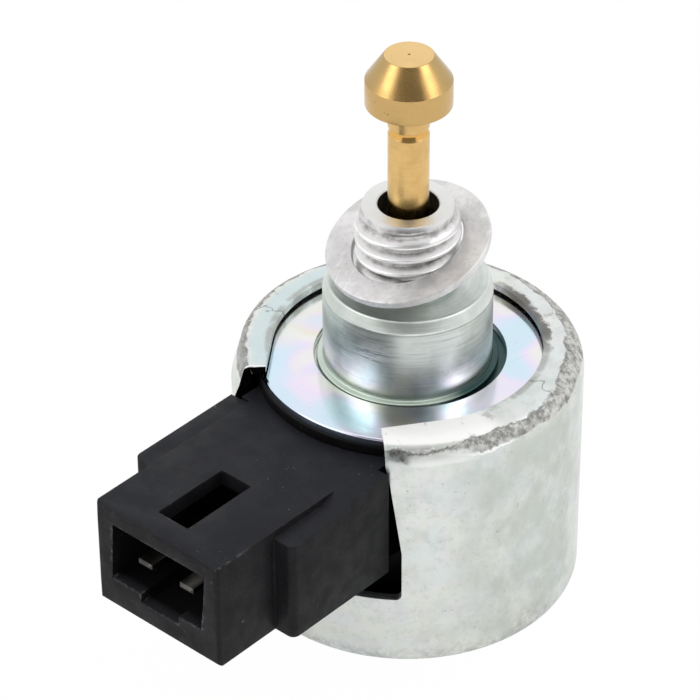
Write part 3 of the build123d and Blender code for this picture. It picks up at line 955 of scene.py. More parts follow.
def cover_solid(con):
    """The cover round the coil, with its foot and flange."""
    return turned(
        [
            (con.floor_hole, con.cover_low),
            (con.foot, con.cover_low, 0.2 * MM),
            (con.foot, con.foot_high, 0.2 * MM),
            (con.cover, con.foot_high, 0.2 * MM),
            (con.cover, con.high),
            (con.flange, con.high, 0.15 * MM),
            (con.flange, con.cover_high, 0.25 * MM),
            (con.flange_hole, con.cover_high),
            (con.flange_hole, con.high),
            (con.cover_bore, con.high),
            (con.cover_bore, con.floor_high),
            (con.floor_hole, con.floor_high),
        ],
        closed=True,
        steps=128,
    )


def combine(made, other, operation):
    """Joins or cuts one solid with another, and removes the other."""
    change = made.modifiers.new("Solid", "BOOLEAN")
    change.operation = operation
    change.solver = "EXACT"
    change.object = other
    settle(made)
    mesh = other.data
    bpy.data.objects.remove(other)
    bpy.data.meshes.remove(mesh)


class SOLENOID_OT_connector(bpy.types.Operator):
    """Moulds the connector and the cover round the coil in one piece"""

    bl_idname = "solenoid.connector"
    bl_label = "Connector"

    def execute(self, context):
        con = context.scene.solenoid_connector
        made = make_object("moulded_connector", connector_block(con))
        room_radius = 0.5 * (con.cover + con.cover_bore)
        room = turned([(0, 0), (room_radius, 0), (room_radius, con.cover_high), (0, con.cover_high)])
        combine(made, make_object("room", room), "DIFFERENCE")
        combine(made, make_object("cover", cover_solid(con)), "UNION")
        dress(made, HOUSING, "black_moulding", ["connector_body"], sharp=35)
        return {"FINISHED"}


class SOLENOID_OT_blades(bpy.types.Operator):
    """Stamps the two terminal blades"""

    bl_idname = "solenoid.blades"
    bl_label = "Terminal Blades"

    def execute(self, context):
        blade = context.scene.solenoid_blade
        for side, hand in ((-1, "left"), (1, "right")):
            bm = bmesh.new()
            bmesh.ops.create_cube(bm, size=1)
            middle = (side * blade.place, -(blade.front + blade.back) / 2, blade.height)
            bmesh.ops.scale(bm, vec=(blade.width, blade.front - blade.back, blade.thickness), verts=bm.verts)
            bmesh.ops.translate(bm, vec=middle, verts=bm.verts)
            tip = [e for e in bm.edges if all(v.co.y < middle[1] for v in e.verts)]
            soften(bm, tip, blade.chamfer, 1)
            long_edges = [e for e in bm.edges if e.calc_length() > 0.5 * (blade.front - blade.back)]
            soften(bm, long_edges, 0.06 * MM, 2)
            made = make_object(f"blade_{hand}", bm)
            dress(made, HOUSING, "tinned_blade", [f"terminal_blade_{hand}"])
        return {"FINISHED"}


class SOLENOID_OT_spring(bpy.types.Operator):
    """Winds the return spring, which shortens as the plunger goes down"""

    bl_idname = "solenoid.spring"
    bl_label = "Return Spring"

    def execute(self, context):
        spring = context.scene.solenoid_spring
        bm = bmesh.new()
        bmesh.ops.create_circle(bm, cap_ends=False, radius=spring.wire / 2, segments=12)
        bmesh.ops.rotate(bm, cent=(0, 0, 0), matrix=Matrix.Rotation(pi / 2, 3, "X"), verts=bm.verts)
        middle_low = spring.low + spring.wire / 2
        bmesh.ops.translate(bm, vec=(spring.radius, 0, middle_low), verts=bm.verts)
        rise = spring.high - spring.low - spring.wire
        steps = 36 * spring.turns
        spin_round(
            bm,
            bm.verts[:] + bm.edges[:],
            steps,
            angle=2 * pi * spring.turns,
            rise=rise / steps,
            merge=False,
        )
        ends = [e for e in bm.edges if e.is_boundary]
        bmesh.ops.holes_fill(bm, edges=ends, sides=0)
        bmesh.ops.recalc_face_normals(bm, faces=bm.faces)
        made = make_object("wound_spring", bm)
        dress(made, HOUSING, "spring_steel", ["return_spring"], sharp=60)
        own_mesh(made)
        return {"FINISHED"}


# ---- finishes


def add(tree, kind, inputs=None, out=0, **settings):
    """Adds a node, sets or links its inputs by name or number, and returns one of its outputs."""
    made = tree.nodes.new("ShaderNode" + kind)
    for name, value in settings.items():
        setattr(made, name, value)
    for name, value in (inputs or {}).items():
        if isinstance(value, bpy.types.NodeSocket):
            tree.links.new(value, made.inputs[name])
        else:
            made.inputs[name].default_value = value
    return made.outputs[out]


def compute(tree, operation, *values, clamp=False):
    """A sum on numbers."""
    return add(tree, "Math", dict(enumerate(values)), operation=operation, use_clamp=clamp)


def mixed(tree, factor, first, second, blend="MIX"):
    """One colour mixed with another."""
    colours = {0: factor}
    for place, colour in ((6, first), (7, second)):
        colours[place] = colour if isinstance(colour, bpy.types.NodeSocket) else (*colour[:3], 1)
    return add(tree, "Mix", colours, out=2, data_type="RGBA", blend_type=blend)


def fit(tree, value, low, high, to_low=0.0, to_high=1.0):
    """Maps a number from one range to another, and keeps it inside."""
    return add(tree, "MapRange", {0: value, 1: low, 2: high, 3: to_low, 4: to_high}, interpolation_type="SMOOTHSTEP")


def noise(tree, vector, scale, detail=2.0, roughness=0.5, distortion=0.0, out=0):
    """Soft noise, with its scale per metre."""
    inputs = {"Vector": vector, "Scale": scale, "Detail": detail, "Roughness": roughness, "Distortion": distortion}
    return add(tree, "TexNoise", inputs, out=out)


def stretched(tree, vector, scale, rotation=(0, 0, 0), location=(0, 0, 0)):
    """A pattern's coordinates, stretched, turned and moved."""
    return add(tree, "Mapping", {"Vector": vector, "Scale": scale, "Rotation": rotation, "Location": location})


def group(name, inputs, outputs, build):
    """A node group with named inputs and outputs."""
    tree = bpy.data.node_groups.new(name, "ShaderNodeTree")
    for label, kind, default in inputs:
        socket = tree.interface.new_socket(name=label, in_out="INPUT", socket_type="NodeSocket" + kind)
        if default is not None:
            socket.default_value = default
    for label, kind in outputs:
        tree.interface.new_socket(name=label, in_out="OUTPUT", socket_type="NodeSocket" + kind)
    start = tree.nodes.new("NodeGroupInput")
    end = tree.nodes.new("NodeGroupOutput")
    for label, socket in build(tree, start.outputs).items():
        tree.links.new(socket, end.inputs[label])
    return tree


def use(tree, name, **inputs):
    """Places a node group and returns its outputs."""
    made = tree.nodes.new("ShaderNodeGroup")
    made.node_tree = bpy.data.node_groups[name]
    for label, value in inputs.items():
        label = label.replace("_", " ")
        if isinstance(value, bpy.types.NodeSocket):
            tree.links.new(value, made.inputs[label])
        else:
            made.inputs[label].default_value = value
    return made.outputs


def build_turning(tree, given):
    """Fine rings left by a turning tool, from the distance to the axis and the height."""
    parts = add(tree, "SeparateXYZ", {0: given["Vector"]})
    place = parts.node.outputs
    flat = add(tree, "CombineXYZ", {0: place[0], 1: place[1]})
    radius = add(tree, "VectorMath", {0: flat}, out=1, operation="LENGTH")
    along = compute(tree, "DIVIDE", radius, given["Spacing"])
    up = compute(tree, "DIVIDE", place[2], given["Spacing"])
    across = compute(tree, "MULTIPLY", place[0], given["Wander"])
    back = compute(tree, "MULTIPLY", place[1], given["Wander"])
    where = add(tree, "CombineXYZ", {0: along, 1: up, 2: across})
    inputs = {"Vector": where, "W": back, "Scale": 1.0, "Detail": 2.0, "Roughness": 0.6}
    rings = add(tree, "TexNoise", inputs, noise_dimensions="4D")
    inputs.update({"Vector": add(tree, "VectorMath", {0: where, 1: (7.3, 3.1, 5.7)}, operation="ADD"), "Detail": 1.0})
    other = add(tree, "TexNoise", inputs, noise_dimensions="4D")
    thin = fit(tree, other, 0.64, 0.7)
    patch = fit(tree, noise(tree, given["Vector"], 170.0, 1.0), 0.5, 0.6)
    return {"Height": rings, "Streak": compute(tree, "MULTIPLY", thin, patch)}


def build_tints(tree, given):
    """Pale rainbow tints of thin plating, in soft clouds."""
    where = given["Vector"]
    cloud = noise(tree, where, given["Scale"], 1.5, 0.45, 0.6)
    ramp = tree.nodes.new("ShaderNodeValToRGB")
    tree.links.new(compute(tree, "ADD", cloud, given["Shift"]), ramp.inputs[0])
    stops = (
        (0.30, (0.62, 0.82, 0.93)),
        (0.37, (0.68, 0.80, 0.95)),
        (0.43, (0.84, 0.76, 0.95)),
        (0.48, (0.88, 0.84, 0.86)),
        (0.53, (0.86, 0.88, 0.84)),
        (0.58, (0.86, 0.81, 0.66)),
        (0.63, (0.86, 0.76, 0.84)),
        (0.70, (0.66, 0.80, 0.93)),
    )
    elements = ramp.color_ramp.elements
    while len(elements) < len(stops):
        elements.new(0.5)
    for element, (place, colour) in zip(elements, stops):
        element.position = place
        element.color = (*colour, 1)
    tinted = mixed(tree, given["Amount"], given["Colour"], ramp.outputs[0])
    return {"Colour": tinted}


def build_specks(tree, given):
    """Small scattered spots."""
    fine = noise(tree, given["Vector"], given["Scale"], 2.0, 0.6)
    low = compute(tree, "SUBTRACT", 0.78, given["Amount"])
    high = compute(tree, "ADD", low, 0.05)
    inputs = {0: fine, 1: low, 2: high, 3: 0.0, 4: 1.0}
    return {"Mask": add(tree, "MapRange", inputs, interpolation_type="SMOOTHSTEP")}


def build_scratches(tree, given):
    """Long thin lines in two directions, here and there."""
    masks = []
    for rotation in ((0.3, 0.2, 0.6), (0.1, 0.5, -0.9)):
        where = stretched(tree, given["Vector"], (1.0, 0.09, 0.35), rotation)
        field = noise(tree, where, given["Scale"], 1.0, 0.4, 0.15)
        distance = compute(tree, "ABSOLUTE", compute(tree, "SUBTRACT", field, 0.5))
        line = fit(tree, distance, 0.0, 0.006, 1.0, 0.0)
        patch = fit(tree, noise(tree, given["Vector"], 260.0), 0.52, 0.62)
        masks.append(compute(tree, "MULTIPLY", line, patch))
    both = compute(tree, "MAXIMUM", *masks)
    return {"Mask": compute(tree, "MULTIPLY", both, given["Amount"])}


def build_edges(tree, given):
    """Edges that handling has rubbed, broken up by noise."""
    rounded = add(tree, "Bevel", {"Radius": given["Width"]}, samples=4)
    surface = add(tree, "NewGeometry", out=1)
    along = add(tree, "VectorMath", {0: rounded, 1: surface}, out=1, operation="DOT_PRODUCT")
    bend = compute(tree, "SUBTRACT", 1.0, along)
    edge = fit(tree, bend, 0.015, 0.12)
    broken = fit(tree, noise(tree, given["Vector"], 1100.0, 4.0, 0.75), 0.47, 0.62)
    return {"Mask": compute(tree, "MULTIPLY", edge, broken)}


class SOLENOID_OT_finishes(bpy.types.Operator):
    """Mixes the finishes and gives them to the pieces that keep their packed shape"""

    bl_idname = "solenoid.finishes"
    bl_label = "Finishes"

    def execute(self, context):
        colours = context.scene.solenoid_colours
        group(
            "Turning Marks",
            (("Vector", "Vector", None), ("Spacing", "Float", 0.0001), ("Wander", "Float", 40.0)),
            (("Height", "Float"), ("Streak", "Float")),
            build_turning,
        )
        group(
            "Plating Tints",
            (
                ("Vector", "Vector", None),
                ("Colour", "Color", (1, 1, 1, 1)),
                ("Scale", "Float", 100.0),
                ("Shift", "Float", 0.0),
                ("Amount", "Float", 0.5),
            ),
            (("Colour", "Color"),),
            build_tints,
        )
        group(
            "Specks",
            (("Vector", "Vector", None), ("Scale", "Float", 1500.0), ("Amount", "Float", 0.1)),
            (("Mask", "Float"),),
            build_specks,
        )
        group(
            "Scratches",
            (("Vector", "Vector", None), ("Scale", "Float", 300.0), ("Amount", "Float", 1.0)),
            (("Mask", "Float"),),
            build_scratches,
        )
        group(
            "Rubbed Edges",
            (("Vector", "Vector", None), ("Width", "Float", 0.0002)),
            (("Mask", "Float"),),
            build_edges,
        )
        for make in (
            zinc_cup,
            zinc_plate,
            zinc_neck,
            soft_aluminium,
            turned_brass,
            black_moulding,
            tinned_blade,
        ):
            make(colours)
        plain_finishes(colours)
        kept = {
            "plunger": "armature_steel",
            "fixed_core": "armature_steel",
            "guide_tube": "armature_steel",
            "plunger_shim": "shim_brass",
            "neck_o_ring": "seal_rubber",
            "core_o_ring": "seal_rubber",
            "coil_bobbin": "bobbin_nylon",
            "coil_winding": "enamelled_wire",
            "lead_wire_left": "enamelled_wire",
            "lead_wire_right": "enamelled_wire",
            "coil_tape": "wrapping_tape",
            "preload_washer": "spring_steel",
        }
        for node_name, slot in kept.items():
            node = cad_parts[node_name]
            finish = finish_of(slot)
            if not node.material_slots:
                node.data.materials.append(finish)
            for place in node.material_slots:
                place.material = finish
        return {"FINISHED"}


def new_finish(name, **constants):
    """A material with its shader's plain values set, and the object coordinates to paint it by."""
    finish = bpy.data.materials.new(name + "_finish")
    finish.use_nodes = True
    tree = finish.node_tree
    shader = tree.nodes["Principled BSDF"]
    for label, value in constants.items():
        shader.inputs[label.replace("_", " ")].default_value = value
    place = add(tree, "TexCoord", out=3)
    return tree, shader, place


def connect(tree, shader, **links):
    """Links a shader's inputs."""
    for label, socket in links.items():
        tree.links.new(socket, shader.inputs[label.replace("_", " ")])


def bump(tree, height, distance, strength=1.0):
    """A bump's normal, with its height in metres."""
    return add(tree, "Bump", {"Height": height, "Distance": distance, "Strength": strength})


def round_axis(tree, shader):
    """Turns a shader's stretched highlights round the axis."""
    direction = add(tree, "Tangent", direction_type="RADIAL", axis="Z")
    tree.links.new(direction, shader.inputs["Tangent"])


def around(tree, place):
    """The distance to the axis, the height, and the angle in degrees, nought at the connector."""
    parts = add(tree, "SeparateXYZ", {0: place}).node.outputs
    flat = add(tree, "CombineXYZ", {0: parts[0], 1: parts[1]})
    radius = add(tree, "VectorMath", {0: flat}, out=1, operation="LENGTH")
    front = compute(tree, "MULTIPLY", parts[1], -1.0)
    angle = compute(tree, "DEGREES", compute(tree, "ARCTAN2", parts[0], front))
    return radius, parts[2], angle


def between(tree, value, low, high, soft):
    """One inside a range, easing to nought over a soft edge at both ends."""
    if isinstance(low, bpy.types.NodeSocket):
        above = fit(tree, compute(tree, "SUBTRACT", value, low), -soft, soft)
    else:
        above = fit(tree, value, low - soft, low + soft)
    if isinstance(high, bpy.types.NodeSocket):
        below = fit(tree, compute(tree, "SUBTRACT", value, high), -soft, soft, 1.0, 0.0)
    else:
        below = fit(tree, value, high - soft, high + soft, 1.0, 0.0)
    return compute(tree, "MULTIPLY", above, below)


def product(tree, *values):
    """Several numbers multiplied."""
    result = values[0]
    for value in values[1:]:
        result = compute(tree, "MULTIPLY", result, value)
    return result


def total(tree, *values):
    """Several numbers added."""
    result = values[0]
    for value in values[1:]:
        result = compute(tree, "ADD", result, value)
    return result


def zinc_cup(colours):
    """Plated cup: soft clouds and specks, a worn band on the rim's bend, a lip worn bright by the window and painted
    as a highlight, and painted shade and highlights on the wall and rim.
    """
    tree, shader, place = new_finish("zinc_cup")
    sizes = bpy.context.scene.solenoid_cup
    radius, height, angle = around(tree, place)
    grain = noise(tree, place, 1500.0, 4.0, 0.7)
    blotch = noise(tree, place, 420.0, 3.0, 0.6)
    # plating: pastel clouds, grey blotches, painted shade on the right side, a stain at the foot, grainy darkening
    # towards the foot, and specks
    colour = use(tree, "Plating Tints", Vector=place, Colour=(*colours.zinc, 1), Scale=130.0, Amount=0.16)[0]
    colour = mixed(tree, fit(tree, blotch, 0.42, 0.68, 0.0, 0.3), colour, (0.58, 0.615, 0.59))
    colour = mixed(tree, fit(tree, grain, 0.5, 0.72, 0.0, 0.3), colour, (0.47, 0.48, 0.455))
    # painted shade: the right side of the wall darker, in patches
    right_side = between(tree, angle, 60.0, 116.0, 12.0)
    right_shade = product(tree, right_side, fit(tree, noise(tree, place, 260.0, 4.0, 0.65), 0.36, 0.6, 0.35, 1.0))
    right_shade = product(tree, right_shade, between(tree, height, 1.5 * MM, 25.0 * MM, 2.5 * MM))
    colour = mixed(tree, product(tree, right_shade, 0.75), colour, (0.54, 0.575, 0.53))
    stain = product(
        tree,
        between(tree, angle, 80.0, 94.0, 9.0),
        between(tree, height, 0.6 * MM, 2.8 * MM, 1.6 * MM),
        fit(tree, noise(tree, place, 900.0, 4.0, 0.7), 0.34, 0.66),
    )
    colour = mixed(tree, product(tree, stain, 0.75), colour, (0.25, 0.22, 0.185))
    foot = product(tree, fit(tree, height, 0.4 * MM, 2.6 * MM, 1.0, 0.0), fit(tree, grain, 0.36, 0.6))
    colour = mixed(tree, product(tree, foot, 0.5), colour, (0.33, 0.345, 0.32))
    specks = use(tree, "Specks", Vector=place, Scale=2100.0, Amount=0.1)[0]
    colour = mixed(tree, product(tree, specks, 0.35), colour, (0.25, 0.25, 0.23))
    # the rim: a bend angle of nought at the wall and ninety on the lip
    bend_start = sizes.rim_top - sizes.rim_bend
    inwards = compute(tree, "SUBTRACT", radius, sizes.radius - sizes.rim_bend)
    upwards = compute(tree, "SUBTRACT", height, bend_start)
    bend = compute(tree, "DEGREES", compute(tree, "ARCTAN2", upwards, inwards))
    wander = total(tree, bend, fit(tree, noise(tree, place, 380.0, 4.0, 0.65), 0.25, 0.75, -8.0, 8.0))
    rolled = fit(tree, height, bend_start, bend_start + 0.3 * MM)
    on_left = fit(tree, angle, -1.0, 1.0, 1.0, 0.0)
    low = total(tree, fit(tree, angle, 50.0, 62.0, 37.0, 21.0), product(tree, on_left, -12.0))
    high = total(
        tree,
        45.0,
        fit(tree, angle, 54.0, 64.0, 0.0, 11.0),
        fit(tree, angle, 96.0, 114.0, 0.0, 20.0),
        product(tree, on_left, 24.0),
    )
    band = between(tree, wander, low, high, 3.0)
    band = product(tree, band, rolled)
    mark = product(tree, between(tree, angle, 35.0, 41.5, 1.5), between(tree, wander, 16.0, 44.0, 5.0), rolled)
    mottled = fit(tree, noise(tree, place, 1250.0, 5.0, 0.75), 0.36, 0.62)
    faded = product(tree, on_left, fit(tree, noise(tree, place, 300.0, 2.0), 0.4, 0.6, 0.2, 0.9))
    worn = mixed(tree, mottled, (0.24, 0.235, 0.225), (0.68, 0.68, 0.655))
    left_worn = mixed(tree, mottled, (0.25, 0.25, 0.24), (0.52, 0.525, 0.51))
    worn = mixed(tree, on_left, worn, left_worn)
    worn = mixed(tree, product(tree, faded, 0.3), worn, (0.56, 0.57, 0.55))
    # the lip: burnished and painted as a highlight on the right of the window, bluish on the left, grey along its
    # inner edge
    on_lip = fit(tree, bend, 50.0, 58.0)
    burnished_highlight = product(tree, on_lip, between(tree, angle, 24.0, 74.0, 5.0), fit(tree, wander, 40.0, 47.0))
    bluish = product(tree, fit(tree, bend, 72.0, 84.0), on_left, between(tree, angle, -125.0, -20.0, 20.0))
    colour = mixed(tree, product(tree, bluish, 0.8), colour, (0.645, 0.76, 0.775))
    plain = compute(tree, "SUBTRACT", 1.0, burnished_highlight)
    edge = fit(tree, radius, 13.3 * MM, 13.75 * MM, 1.0, 0.0)
    edge = product(tree, edge, on_lip, plain, fit(tree, blotch, 0.34, 0.56))
    colour = mixed(tree, product(tree, edge, 0.7), colour, (0.40, 0.41, 0.385))
    colour = mixed(tree, burnished_highlight, colour, (0.98, 0.98, 0.97))
    dents = noise(tree, place, 650.0, 5.0, 0.7)
    ragged = total(tree, radius, fit(tree, dents, 0.3, 0.7, -0.5 * MM, 0.5 * MM))
    # painted shade in a ragged dark band along the lip's inner edge at the back
    shaded_inner_lip = product(tree, between(tree, angle, 128.0, 176.0, 10.0), fit(tree, ragged, 13.3 * MM, 13.7 * MM, 1.0, 0.0))
    colour = mixed(tree, product(tree, shaded_inner_lip, on_lip, 0.85), colour, (0.15, 0.14, 0.13))
    dabs = product(tree, fit(tree, dents, 0.57, 0.64), on_lip, fit(tree, blotch, 0.46, 0.6))
    colour = mixed(tree, product(tree, dabs, 0.5), colour, (0.34, 0.34, 0.32))
    # creases across the left lip, darkened with painted shade, a painted highlight line under the band, and the band's
    # dark border
    wiggle = fit(tree, noise(tree, place, 700.0, 3.0), 0.3, 0.7, -3.5, 3.5)
    shifted = total(tree, angle, wiggle)
    shaded_creases = compute(
        tree,
        "MAXIMUM",
        between(tree, shifted, -71.2, -70.0, 0.5),
        product(tree, between(tree, shifted, 101.0, 102.0, 0.5), fit(tree, bend, 62.0, 70.0)),
    )
    # painted highlight: a bright line under the band
    highlight_line = product(tree, between(tree, angle, 46.0, 77.0, 3.0), rolled)
    below = compute(tree, "SUBTRACT", low, 7.0)
    highlight_line = product(tree, highlight_line, between(tree, wander, below, compute(tree, "SUBTRACT", low, 2.0), 1.5))
    colour = mixed(tree, product(tree, band, 0.93), colour, worn)
    colour = mixed(tree, highlight_line, colour, (1.0, 1.0, 1.0))
    # painted highlight on the rim's bend beside the window
    bend_highlight = product(tree, between(tree, angle, 42.0, 62.0, 4.0), between(tree, wander, 4.0, 35.0, 6.0), rolled, 0.8)
    colour = mixed(tree, bend_highlight, colour, (0.9, 0.92, 0.9))
    border = between(tree, wander, compute(tree, "SUBTRACT", high, 3.5), high, 1.2)
    border = product(tree, border, rolled, compute(tree, "SUBTRACT", 1.0, between(tree, angle, 20.0, 50.0, 6.0)))
    border = product(tree, border, fit(tree, dents, 0.42, 0.56))
    colour = mixed(tree, product(tree, border, 0.55), colour, (0.2, 0.2, 0.19))
    line = product(tree, between(tree, angle, 36.0, 56.0, 2.0), between(tree, wander, 38.5, 42.0, 0.8), rolled)
    colour = mixed(tree, product(tree, line, 0.6), colour, (0.2, 0.2, 0.19))
    colour = mixed(tree, product(tree, mark, fit(tree, grain, 0.3, 0.62, 1.0, 0.45)), colour, (0.1, 0.1, 0.095))
    # painted shade in the creases
    colour = mixed(tree, product(tree, shaded_creases, on_lip, 0.55), colour, (0.2, 0.2, 0.19))
    # the left cut face lies in deep shade, but not its rounded edges
    facing = add(tree, "TexCoord", out=1)
    outwards = add(tree, "VectorMath", {0: place, 1: (1, 1, 0)}, operation="MULTIPLY")
    outwards = add(tree, "VectorMath", {0: outwards}, operation="NORMALIZE")
    outward = add(tree, "VectorMath", {0: facing, 1: outwards}, out=1, operation="DOT_PRODUCT")
    upward = add(tree, "SeparateXYZ", {0: facing}, out=2)
    cut = product(
        tree,
        between(tree, angle, -60.0, -15.0, 0.6),
        fit(tree, compute(tree, "ABSOLUTE", outward), 0.6, 0.75, 1.0, 0.0),
        fit(tree, upward, 0.35, 0.55, 1.0, 0.0),
    )
    colour = mixed(tree, cut, colour, (0.008, 0.008, 0.008))
    # a painted highlight on the burr along the left cut of the lip, at a distance from the slanting cut's line
    slant = (-cos(sizes.end_slant), sin(sizes.end_slant), 0)
    off = add(tree, "VectorMath", {0: place, 1: slant}, out=1, operation="DOT_PRODUCT")
    off = compute(tree, "ADD", off, sizes.end_reach * sin(sizes.end_slant))
    burr_highlight = product(tree, between(tree, off, 0.03 * MM, 0.24 * MM, 0.05 * MM), fit(tree, upward, 0.5, 0.7), on_lip)
    burr_highlight = product(tree, burr_highlight, between(tree, angle, -60.0, -15.0, 0.6))
    colour = mixed(tree, burr_highlight, colour, (1.0, 1.0, 1.0))
    rough = total(
        tree,
        fit(tree, blotch, 0.3, 0.7, 0.34, 0.46),
        product(tree, band, 0.2),
        product(tree, burnished_highlight, 0.15),
    )
    relief = total(
        tree,
        product(tree, grain, 0.3),
        product(tree, band, mottled, 1.6),
        product(tree, dents, on_lip, 1.2),
        product(tree, shaded_creases, on_lip, -3.0),
    )
    connect(
        tree,
        shader,
        Base_Color=colour,
        Metallic=compute(tree, "SUBTRACT", 1.0, total(tree, product(tree, burnished_highlight, 0.75), product(tree, bend_highlight, 0.6), product(tree, burr_highlight, 0.9)), clamp=True),
        Roughness=compute(tree, "MAXIMUM", rough, cut),
        Normal=bump(tree, relief, 0.03 * MM, 0.8),
    )


def zinc_plate(colours):
    """Bright plated plate with clear pastel tints, bluer to the right and yellower to the left, and a painted
    reflection of the neck's dark front.
    """
    tree, shader, place = new_finish("zinc_plate", Metallic=1.0)
    radius, height, angle = around(tree, place)
    shift = total(
        tree,
        product(tree, between(tree, angle, -60.0, 30.0, 20.0), -0.05),
        product(tree, between(tree, angle, 30.0, 140.0, 20.0), -0.12),
        product(
            tree,
            between(tree, angle, 30.0, 150.0, 20.0),
            fit(tree, radius, 9.0 * MM, 14.4 * MM, -0.04, 0.09),
        ),
        product(tree, between(tree, angle, -150.0, -62.0, 12.0), fit(tree, radius, 9.0 * MM, 14.4 * MM, 0.12, 0.02)),
    )
    tints = use(
        tree,
        "Plating Tints",
        Vector=stretched(tree, place, (1, 1, 1), (0, 0, 0.6), (0.013, 0.004, 0)),
        Colour=(*colours.bright_zinc, 1),
        Scale=110.0,
        Shift=shift,
        Amount=colours.tint_share,
    )[0]
    scratches = use(tree, "Scratches", Vector=place, Scale=420.0, Amount=0.5)[0]
    pale = product(tree, between(tree, angle, -160.0, -50.0, 8.0), fit(tree, radius, 10.0 * MM, 11.5 * MM))
    tints = mixed(tree, product(tree, pale, 0.6), tints, (0.83, 0.86, 0.835))
    clouds = (
        (-26.0, -4.0, 8.0, 10.0, 12.8, 0.7, (0.90, 0.79, 0.95)),
        (-48.0, -26.0, 6.0, 11.5, 14.4, 0.7, (0.68, 0.84, 0.96)),
        (16.0, 28.0, 5.0, 10.5, 13.6, 0.7, (0.62, 0.86, 0.95)),
        (84.0, 102.0, 8.0, 9.5, 11.5, 0.5, (0.80, 0.80, 0.95)),
    )
    for first, last, soft, inner, outer, part, shade in clouds:
        cloud = product(tree, between(tree, angle, first, last, soft), between(tree, radius, inner * MM, outer * MM, 0.7 * MM))
        tints = mixed(tree, product(tree, cloud, part), tints, shade)
    # painted reflection of the neck's dark front in the plate, darker towards the hole
    front = product(tree, between(tree, angle, 28.0, 54.0, 7.0), fit(tree, radius, 13.2 * MM, 9.2 * MM))
    tints = mixed(tree, product(tree, front, 0.7), tints, (0.28, 0.27, 0.29))
    marked = mixed(tree, product(tree, scratches, 0.2), tints, (0.5, 0.5, 0.5))
    specks = use(tree, "Specks", Vector=place, Scale=1800.0, Amount=0.05)[0]
    marked = mixed(tree, product(tree, specks, 0.4), marked, (0.4, 0.4, 0.38))
    connect(
        tree,
        shader,
        Base_Color=marked,
        Roughness=fit(tree, noise(tree, place, 500.0, 3.0), 0.3, 0.7, 0.12, 0.19),
        Normal=bump(tree, noise(tree, place, 330.0, 2.0), 0.02 * MM, 0.5),
    )


